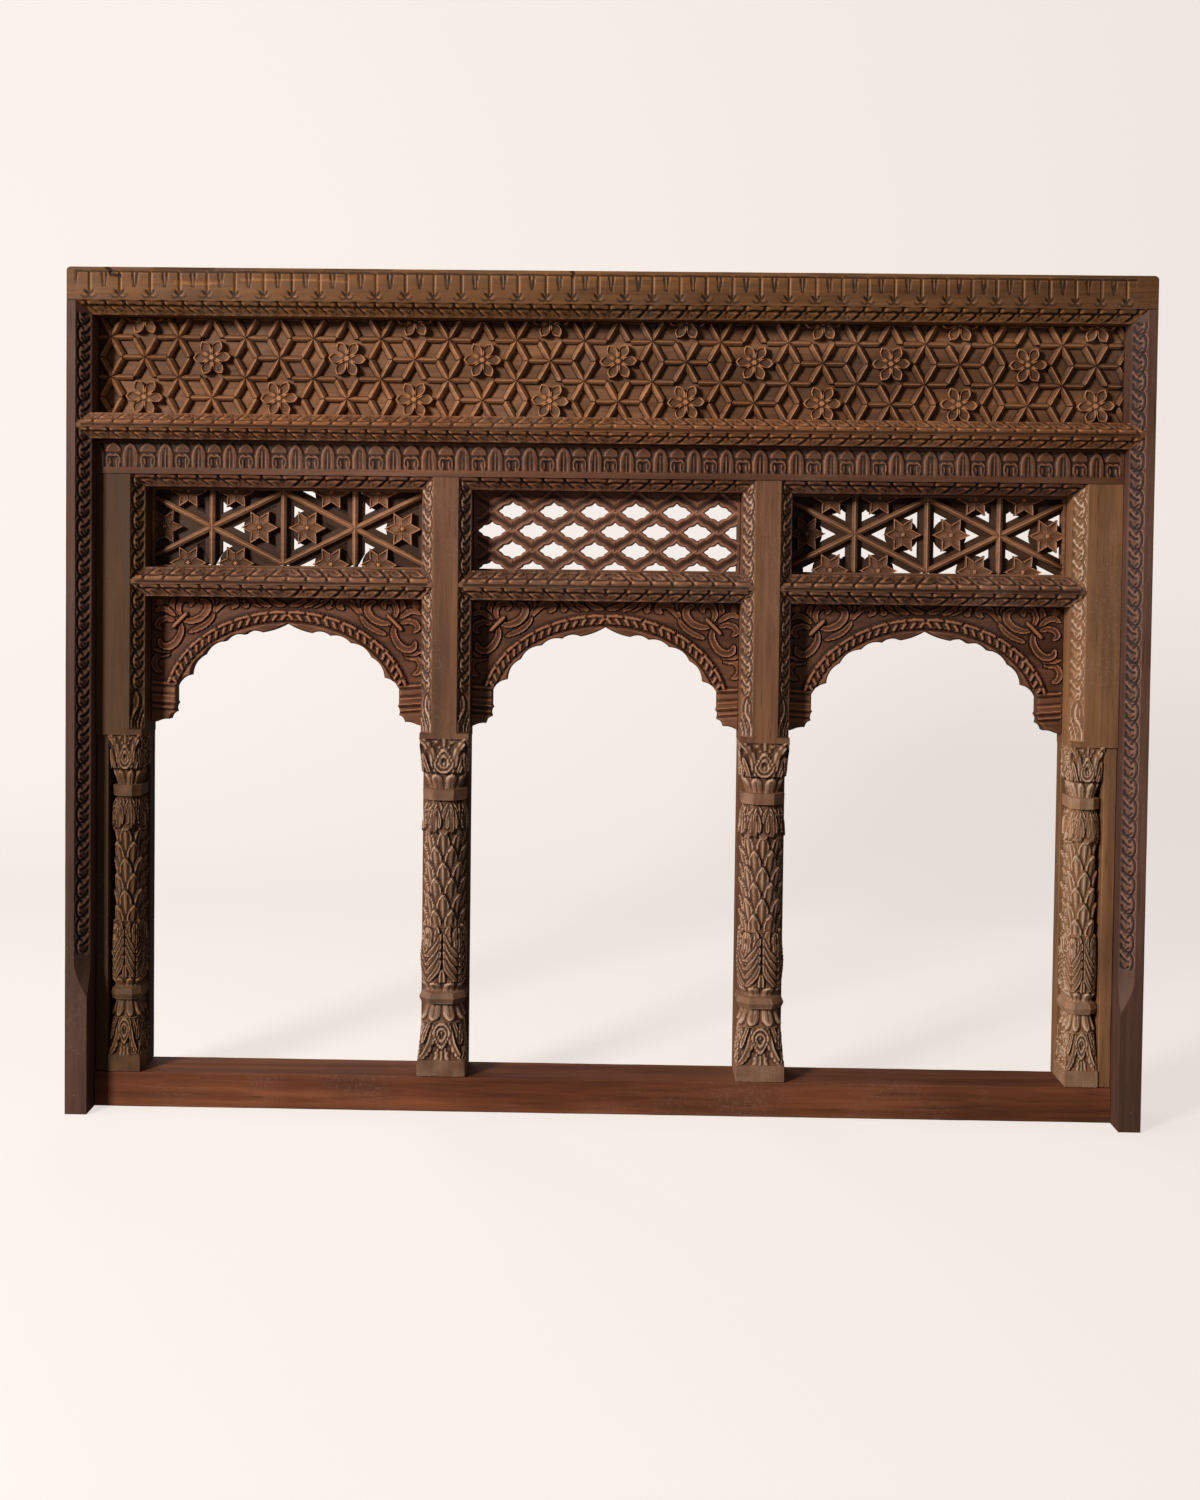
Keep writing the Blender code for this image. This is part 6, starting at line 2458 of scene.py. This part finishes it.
@dataclass
class Arch:
    """An arch board: cusps, a band of leaves along the curve, scrolls in the spandrels.

    Attributes:
        bay: Which bay it spans.
        top: The height of its top.
        foot: The height of its lowest point.
        spring: The height of the arch's lowest scallop.
        span: Half the width of the curve that the band follows.
        rise: Its height above the spring.
        band: The inner and outer offsets of the leaf band from the curve.
        band_end: Where the band ends, as a share of the curve.
        dash: The pitch of the band's bars.
        bracket: The height at which the brackets start below the band.
        mouldings: Height, half width and top of each moulding on a bracket.
        quirks: The heights of the grooves between them.
        cell: The size of the mesh's cells.
        nowhere: An offset that keeps the band away.
        cusps: The opening from the crown down: each cusp, and how far the scallop that
            ends there bulges.
    """

    bay: str
    top: float = 798.7
    foot: float = 598.0
    spring: float = 640.0
    span: float = 168.0
    rise: float = 110.0
    band: Point = (11.5, 28.5)
    band_end: float = 0.995
    dash: float = 23.8
    bracket: float = 661.0
    mouldings: tuple[Spot, ...] = (
        (660, 2.2, 0.6), (640, 2.0, -0.2), (631.5, 1.6, 0.6), (622, 1.6, 0.4)
    )
    quirks: tuple[float, ...] = (655, 644, 627, 618)
    cell: float = 1.5
    nowhere: float = 99.0
    cusps: tuple[tuple[Point, float], ...] = (
        ((0, 757), 0), ((39, 742), -2), ((68, 738), 4.5), ((100, 727), 5), ((133, 705), 6),
        ((154, 673), 5.5), ((177, 655), 4), ((177, 636), 0), ((175, 628), 1.0), ((177, 614), 2.5),
        ((187, 603), 2.5), ((206, 599), 1.5),
    )

    def opening(self) -> Array:
        """The right half of the opening, from the crown down to the foot."""
        points: list[Point] = []
        for (start, _), (end, rise) in zip(self.cusps, self.cusps[1:]):
            chord = np.subtract(end, start)
            length = float(np.hypot(*chord))
            normal = np.array([-chord[1], chord[0]]) / length
            steps = max(2, round(length / 1.9))
            t = np.linspace(0, 1, steps, endpoint=False)[:, None]
            points += list(np.array(start) + chord * t + normal * rise * 4 * t * (1 - t))
        half = self.half()
        last = np.array(self.cusps[-1][0], dtype=float)
        t = np.linspace(0, 1, 8)[:, None]
        points += list(last * (1 - t) + np.array([half, self.foot]) * t)
        return np.array(points)

    def half(self) -> float:
        """Half the board's width."""
        left, right = BAYS[self.bay]
        return (right - left) / 2 - GAP

    @staticmethod
    def within(x: Array, z: Array, outline: Array) -> Array:
        """Whether places lie in the opening, by how many of its sides lie to their right."""
        found = np.zeros(x.shape, dtype=bool)
        for (ax, az), (bx, bz) in zip(outline, np.roll(outline, -1, axis=0)):
            if az != bz:
                crosses = (az > z) != (bz > z)
                found ^= crosses & (x < ax + (bx - ax) * (z - az) / (bz - az))
        return found

    def cut_out(self, x: Array, z: Array, outline: Array) -> tuple[Array, Array, Array]:
        """Fits a square grid to the opening.

        Args:
            x: The grid's places across.
            z: The grid's places upwards.
            outline: The opening's outline, from foot to foot over the crown.

        Returns:
            Which cells are wood, and the places with those at the edge moved onto it.
        """
        middle_x = (x[1:, 1:] + x[:-1, :-1]) / 2
        middle_z = (z[1:, 1:] + z[:-1, :-1]) / 2
        kept = ~self.within(middle_x, middle_z, outline)
        a, b, c, d = kept[:-1, :-1], kept[:-1, 1:], kept[1:, :-1], kept[1:, 1:]
        kept[:-1, 1:] |= a & d & ~b & ~c
        kept[:-1, :-1] |= b & c & ~a & ~d
        wood, air = np.zeros(x.shape, dtype=bool), np.zeros(x.shape, dtype=bool)
        for rows in (slice(None, -1), slice(1, None)):
            for columns in (slice(None, -1), slice(1, None)):
                wood[rows, columns] |= kept
                air[rows, columns] |= ~kept
        edge = wood & air
        _, place = path_distance(x[edge], z[edge], outline)
        count = np.linspace(0, 1, len(outline))
        x, z = x.copy(), z.copy()
        x[edge] = np.interp(place, count, outline[:, 0])
        z[edge] = np.interp(place, count, outline[:, 1])
        spots = np.argwhere(edge)
        for (cx, cz), _ in self.cusps[:-1]:
            for way in (-1, 1):
                near = np.hypot(x[edge] - way * cx, z[edge] - cz)
                spot = tuple(spots[int(np.argmin(near))])
                x[spot], z[spot] = way * cx, cz
        return kept, x, z

    @staticmethod
    def rim(kept: Array, columns: int) -> list[int]:
        """The numbers of the points round the wood, in order."""
        edges: set[tuple[int, int]] = set()
        for a, b, c, d in grid_faces(kept.shape[0] + 1, columns)[kept.reshape(-1)].tolist():
            for side in ((a, b), (b, c), (c, d), (d, a)):
                if side[::-1] in edges:
                    edges.remove(side[::-1])
                else:
                    edges.add(side)
        after = dict(edges)
        loop = [min(after)]
        for _ in range(len(after) - 1):
            loop.append(after[loop[-1]])
            if after[loop[-1]] == loop[0]:
                break
        return loop

    def curve(self) -> Array:
        """The smooth curve that the band follows, from the crown to the spring."""
        t = np.linspace(0, 1, 60)
        angle = t * math.radians(80)
        z = self.spring + self.rise * np.cos(angle) - 12 * t * t
        return np.stack([self.span * np.sin(angle), z], -1)

    def scrolls(self, relief: Relief) -> None:
        """Raises the scrolls of one spandrel.

        Args:
            relief: The half board's relief, whose u and v are x and z.
        """
        big, small = 5.6, 4.4
        leaves = [
            ([(58, 795), (68, 793), (64, 785), (69, 783)], 3.6),
            ([(65, 797), (51, 789), (36, 783)], 3.8), ([(49, 797), (39, 789), (27, 784)], 3.8),
            ([(30, 797), (18, 789), (4, 786)], 4.2),
            ([(120, 771), (111, 782), (99, 792), (87, 794), (82, 787), (88, 781)], big),
            ([(113, 787), (112, 797)], 3.0), ([(119, 787), (121, 797)], 3.0),
            ([(155, 742), (140, 748), (126, 757), (116, 770)], 4.2),
            ([(176, 769), (183, 782), (181, 796)], small),
            ([(180, 768), (190, 776), (201, 779), (210, 774)], small),
            ([(189, 705), (205, 704), (212, 693), (208, 682), (201, 679)], small),
            ([(186, 711), (200, 711), (212, 714)], 3.0),
            ([(170, 769), (173, 780), (168, 792), (159, 795), (152, 789), (155, 783)], small),
            ([(137, 793), (128, 788), (127, 778), (136, 766), (149, 760), (163, 759)], big),
            ([(181, 760), (192, 763), (203, 760), (207, 752), (201, 746)], small),
            ([(169, 754), (169, 741), (177, 726), (189, 718), (200, 721), (203, 730)], big),
        ]
        for path, half in leaves:
            relief.leaf(
                path, half + 0.5, (-0.4, 0.6), hollow=1.9, ends=(0.5, 0.4), belly=0.5, drop=4.6
            )
        relief.boss((204, 789), (8.5, 8.0), 0.2, -5.0)
        relief.leaf([(160, 771), (181, 750)], 3.2, (2.2, 2.2), -0.8, (0.8, 0.8), 0.5, 5.5)

    def carved(self, x: Array, z: Array, offset: Array, rim: Array) -> Relief:
        """Carves the spandrels, the mouldings on the brackets and the bed of the band.

        Args:
            x: The distance of the board's points from its middle line.
            z: Their heights.
            offset: How far they lie outside the curve.
            rim: How far they lie from the opening's edge.

        Returns:
            The relief.
        """
        relief = Relief(x, z)
        relief.body = np.where(offset > self.band[1], -3.4, 0.0)
        relief.body = np.where(z < self.bracket, -1.5, relief.body)
        self.scrolls(relief)
        for level, half, top in self.mouldings:
            relief.ridge(self.moulding(level, 3), half, top, -1.5)
        for level in self.quirks:
            relief.groove(self.moulding(level, 2), 2.0, 2.2)
        above = z > self.bracket + 1
        lip = 2.2 * (1 - np.sqrt(held(rim / 2.4)))
        moat = 3.4 * held(1 - np.abs(offset - self.band[0] + 1.2) / 2.4) * above
        bed = (offset >= self.band[0]) & (offset <= self.band[1]) & above
        relief.body = np.where(bed, 2.8, relief.heights()) - lip - moat
        relief.cuts[:] = 0
        relief.raise_to(np.hypot(x - 180, z - 671) / 7.5, 2.8, 0.0)
        return relief

    @staticmethod
    def moulding(level: float, drop: float) -> Stroke:
        """The line of a moulding across a bracket, which drops towards the opening."""
        return [(150, level - drop), (190, level), (214, level + 2)]

    def add_to(self, skin: Skin) -> None:
        """Adds the carved board to a skin."""
        opening = self.opening()
        outline = np.concatenate([opening[:0:-1] * (-1, 1), opening])
        half = self.half()
        across = np.linspace(-half, half, 2 * round(half / self.cell) + 1)
        upwards = np.linspace(self.foot, self.top, round((self.top - self.foot) / self.cell) + 1)
        kept, whole_x, z = self.cut_out(*np.meshgrid(across, upwards), outline)
        x = np.abs(whole_x)
        path = self.curve()
        far, place = path_distance(x, z, path)
        inside = np.hypot(x, (z - self.spring) * self.span / self.rise) < self.span
        offset = np.where(inside, -far, far)
        offset = np.where(z < self.spring + 20, self.nowhere, offset)
        rim, _ = path_distance(whole_x, z, outline)
        relief = self.carved(x, z, offset, rim)
        band = (offset >= self.band[0]) & (offset <= self.band[1])
        share = np.clip((offset - self.band[0]) / (self.band[1] - self.band[0]), 0, 0.999)
        sides = eased(np.minimum(share, 1 - share) * 16 / 0.8)
        # Painted shade: the sunk ground of the spandrels is darkened where shadow falls in it.
        ground = held((-2.8 - relief.body) / 1.6)
        left, right = BAYS[self.bay]
        front = np.stack([(left + right) / 2 + whole_x, BOARD_FRONT - relief.heights(), z], -1)
        skin.grid(
            front, along=place * float(np.hypot(*np.diff(path, axis=0).T).sum()) / self.dash,
            across=share, reach=sides * eased((self.band_end - place) / 0.03) * band,
            carve=np.clip(relief.wear(3, 2.6, False) - 0.6 * ground, -1, 1),
            motif=np.where(band & (place < self.band_end), Motif.DASH.value, 0), kept=kept,
        )
        loop = self.rim(kept, front.shape[1])
        edge = front.reshape(-1, 3)[[*loop, loop[0]]]
        back = edge.copy()
        back[:, 1] = BOARD_BACK
        steps = np.array([0, 0.1, 0.4, 1.0])[:, None, None]
        # The opening's inner walls are painted a little dark, as painted shade.
        skin.grid(edge + (back - edge) * steps, carve=-0.2)
        skin.face(back[:-1])

    def build(self, shop: Workshop, wood: Wood) -> None:
        """Builds the arch and mounts it."""
        skin = Skin()
        self.add_to(skin)
        node = self.bay + "_arch"
        shop.deliver(skin.mesh(node), node, wood, (Motif.DASH,), worked=0.6)


@dataclass
class Studio:
    """The camera, the pale floor and backdrop, and the soft lights.

    Attributes:
        paper: The colour of the floor and backdrop.
        glow: How much of the paper's brightness doesn't depend on the lights.
        key: The key light's power in watts.
        side: The power of the low light at the left.
        fill: The fill light's power.
        back: The power of the light behind the window.
        sky: The world's strength.
        lens: The camera's focal length.
        shift: How far its picture is shifted sideways and upwards.
        stand: Where it stands.
        turns: How far it is turned about x, y and z from looking straight back.
        floor_end: Where the floor starts to curve up.
        bend: The radius of the curve.
        far: How far the paper reaches.
    """

    paper: tuple[float, float, float] = (0.92, 0.86, 0.81)
    glow: float = 0.78
    key: float = 280.0
    side: float = 120.0
    fill: float = 6.0
    back: float = 5.5
    sky: float = 0.10
    lens: float = 41.7
    shift: Point = (0.0186, -0.0943)
    stand: Spot = (-0.0054, -2.7035, 0.8726)
    turns: Spot = (-0.0315, -0.0116, 0.0174)
    floor_end: float = 1.6
    bend: float = 1.4
    far: float = 9.0

    def build(self) -> None:
        """Sets the stage."""
        self.add_camera()
        self.add_paper()
        for light in (
            ("key_light", (-3.3, -4.0, 2.5), 1.1, self.key, (1.0, 0.97, 0.93)),
            ("side_light", (-4.8, -0.9, 1.3), 1.6, self.side, (1.0, 0.93, 0.92)),
            ("fill_light", (3.0, -3.8, 1.4), 2.6, self.fill, (0.95, 0.97, 1.0)),
            ("back_light", (-1.2, 2.5, 2.6), 1.6, self.back, (1.0, 0.98, 0.95), math.pi / 2),
        ):
            self.add_light(*light)
        world = bpy.data.worlds.new("studio_air")
        world.use_nodes = True
        node = world.node_tree.nodes["Background"]
        node.inputs[0].default_value = (1.0, 0.97, 0.94, 1)
        node.inputs[1].default_value = self.sky
        bpy.context.scene.world = world
        bpy.context.scene.view_settings.view_transform = "Standard"

    def add_camera(self) -> None:
        """Adds the camera that stands in front, a little below the middle."""
        data = bpy.data.cameras.new("camera")
        data.lens = self.lens
        data.shift_x, data.shift_y = self.shift
        camera = placed("camera", data)
        x, y, z = self.turns
        turn = Matrix.Rotation(z, 4, "Z") @ Matrix.Rotation(x, 4, "X")
        turn = turn @ Matrix.Rotation(y, 4, "Y") @ Matrix.Rotation(math.pi / 2, 4, "X")
        camera.matrix_world = Matrix.Translation(self.stand) @ turn
        bpy.context.scene.camera = camera

    def add_paper(self) -> None:
        """Adds a floor that curves up into a backdrop."""
        mesh = bpy.data.meshes.new("paper")
        end, bend, far = self.floor_end, self.bend, self.far
        turn = np.linspace(0, math.pi / 2, 13)[1:]
        profile = [(-far, 0.0), (end, 0.0)]
        profile += [(end + bend * math.sin(a), bend - bend * math.cos(a)) for a in turn]
        profile.append((end + bend, far))
        count = len(profile)
        points = [(x, y, z - 0.0004) for x in (-far, far) for y, z in profile]
        faces = [(i, i + count, i + count + 1, i + 1) for i in range(count - 1)]
        mesh.from_pydata(points, [], faces)
        for face in mesh.polygons:
            face.use_smooth = True
        material = bpy.data.materials.new("paper")
        material.use_nodes = True
        shader = material.node_tree.nodes["Principled BSDF"]
        shader.inputs["Base Color"].default_value = (0.3, 0.28, 0.264, 1)
        shader.inputs["Emission Color"].default_value = (*self.paper, 1)
        shader.inputs["Emission Strength"].default_value = self.glow
        shader.inputs["Roughness"].default_value = 0.95
        shader.inputs["Specular IOR Level"].default_value = 0.05
        mesh.materials.append(material)
        paper = placed("paper", mesh)
        paper.visible_diffuse = False
        paper.visible_glossy = False
        paper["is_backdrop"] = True

    @staticmethod
    def add_light(
        name: str, place: Sequence[float], size: float, power: float, colour: Sequence[float],
        spread: float = math.pi,
    ) -> None:
        """Adds a soft area light that looks at the middle of the window.

        Args:
            name: Its name.
            place: Where it stands.
            size: The length of its side.
            power: Its power in watts.
            colour: Its colour.
            spread: The angle that its light fills.
        """
        data = bpy.data.lights.new(name, "AREA")
        data.size = size
        data.energy = power
        data.color = colour
        data.spread = spread
        light = placed(name, data)
        way = Vector((0, 0, 0.7)) - Vector(place)
        light.rotation_euler = way.to_track_quat("-Z", "Y").to_euler()
        light.location = place
        light.visible_camera = False
        light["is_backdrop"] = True


HEAD = Wood(
    "head_wood_old", (0.178, 0.075, 0.024), Grain.ALONG_X, red=0.2, dust=0.08, dark=0.8, shade=-0.1
)
STILE = Wood(
    "stile_wood_old", (0.110, 0.050, 0.032), Grain.ALONG_Z, red=0.1, dust=0.06, dark=0.9,
    wear=0.8, figure=0.7, shade=0.05,
)
FRIEZE = Wood(
    "frieze_wood_old", (0.238, 0.106, 0.046), Grain.ALONG_X, red=0.2, dust=0.15, wear=0.75
)
RAIL = Wood(
    "rail_wood_old", (0.195, 0.079, 0.032), Grain.ALONG_X, red=0.2, dust=0.12, dark=0.65, wear=0.8
)
LOTUS = Wood(
    "lotus_wood_old", (0.140, 0.056, 0.028), Grain.ALONG_X, red=0.3, dust=0.12, wear=0.7,
    shade=-0.12,
)
# Lit and shaded copies of one jamb wood: the left one painted in shade, with duller edges and
# darker hollows; the right one painted as lit, with paler edges and lighter hollows.
LEFT_JAMB_PAINTED_SHADE = Wood(
    "left_jamb_wood_old", (0.205, 0.094, 0.036), Grain.ALONG_Z, red=0.1, dust=0.08, dark=0.65,
    wear=0.6, figure=0.65, shade=0.45, pale=0.1,
)
RIGHT_JAMB_PAINTED_LIT = Wood(
    "right_jamb_wood_old", (0.200, 0.096, 0.042), Grain.ALONG_Z, red=0.1, dust=0.12, dark=0.3,
    wear=1.4, figure=0.65, shade=0.45, pale=0.8,
)
MULLION = Wood(
    "mullion_wood_old", (0.183, 0.081, 0.038), Grain.ALONG_Z, red=0.2, dust=0.12, dark=0.7,
    wear=1.0, figure=0.65, shade=0, pale=0.6,
)
TRANSOM = Wood(
    "transom_wood_old", (0.200, 0.090, 0.047), Grain.ALONG_X, red=0.2, dust=0.12, dark=0.75,
    wear=0.8, shade=-0.1,
)
FRET = Wood(
    "fret_wood_old", (0.25, 0.114, 0.056), Grain.ALONG_X, red=0.1, dust=0.08, dark=0.85, wear=0.8
)
NET = Wood("net_wood_old", (0.22, 0.098, 0.058), Grain.ALONG_X, red=0.3, dust=0.15)
ARCH = Wood(
    "arch_wood_old", (0.180, 0.072, 0.035), Grain.ALONG_X, red=0.4, dust=0.08, dark=0.75,
    wear=0.8, shade=-0.2,
)
SILL = Wood("sill_wood_old", (0.203, 0.0635, 0.024), Grain.ALONG_X, red=0.5, dust=0.1, shade=-0.16)


def build_window(shop: Workshop) -> None:
    """Builds every piece from the outer frame to the boards inside it."""
    Head().build(shop, HEAD)
    for side in Side:
        Stile(side).build(shop, STILE)
    rail = RidgedBar(
        "middle_rail", "rail_wood", -STILE_INNER, STILE_INNER, centre=1061, half=20, front=1,
        lap=CHAMFER, back=DEEP, pitch=30.5,
    )
    rail.build(shop, RAIL)
    LotusRail().build(shop, LOTUS)
    for side in Side:
        label = side.name.lower()
        jamb = Post(label + "_jamb_post", "jamb_wood", side, outer=790.7, inner=719.3, jamb=True)
        jamb.build(shop, LEFT_JAMB_PAINTED_SHADE if side is Side.LEFT else RIGHT_JAMB_PAINTED_LIT)
        mullion = Post(label + "_mullion_post", "mullion_wood", side, outer=286.7, inner=210.3)
        mullion.build(shop, MULLION)
    for bay, (left, right) in BAYS.items():
        transom = RidgedBar(
            bay + "_transom", "transom_wood", left, right, centre=822, half=23, front=POST_FRONT,
            lap=POST_CHAMFER, back=BOARD_BACK, pitch=32.0,
        )
        transom.build(shop, TRANSOM)
        Arch(bay).build(shop, ARCH)
    Frieze().build(shop, FRIEZE)
    StarFret("left", shift=-7.5, blind=True).build(shop, FRET)
    StarFret("right", cover=12.6, shut=(24.0, 18.0)).build(shop, FRET)
    NetFret().build(shop, NET)
    Sill().build(shop, SILL)


def main() -> None:
    """Builds the window and its studio."""
    logging.basicConfig(level=logging.INFO, format="%(message)s")
    shop = Workshop()
    build_window(shop)
    shop.book.discard()
    iron = iron_material()
    for side in Side:
        nail = frame["nodes"][side.name.lower() + "_foot_nail"]
        for slot in nail.material_slots:
            slot.material = iron
    Studio().build()
    low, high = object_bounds()
    {"cad": [list(v) for v in CAD_BOX], "visual": [list(low), list(high)]}


if __name__ == "__main__":
    main()
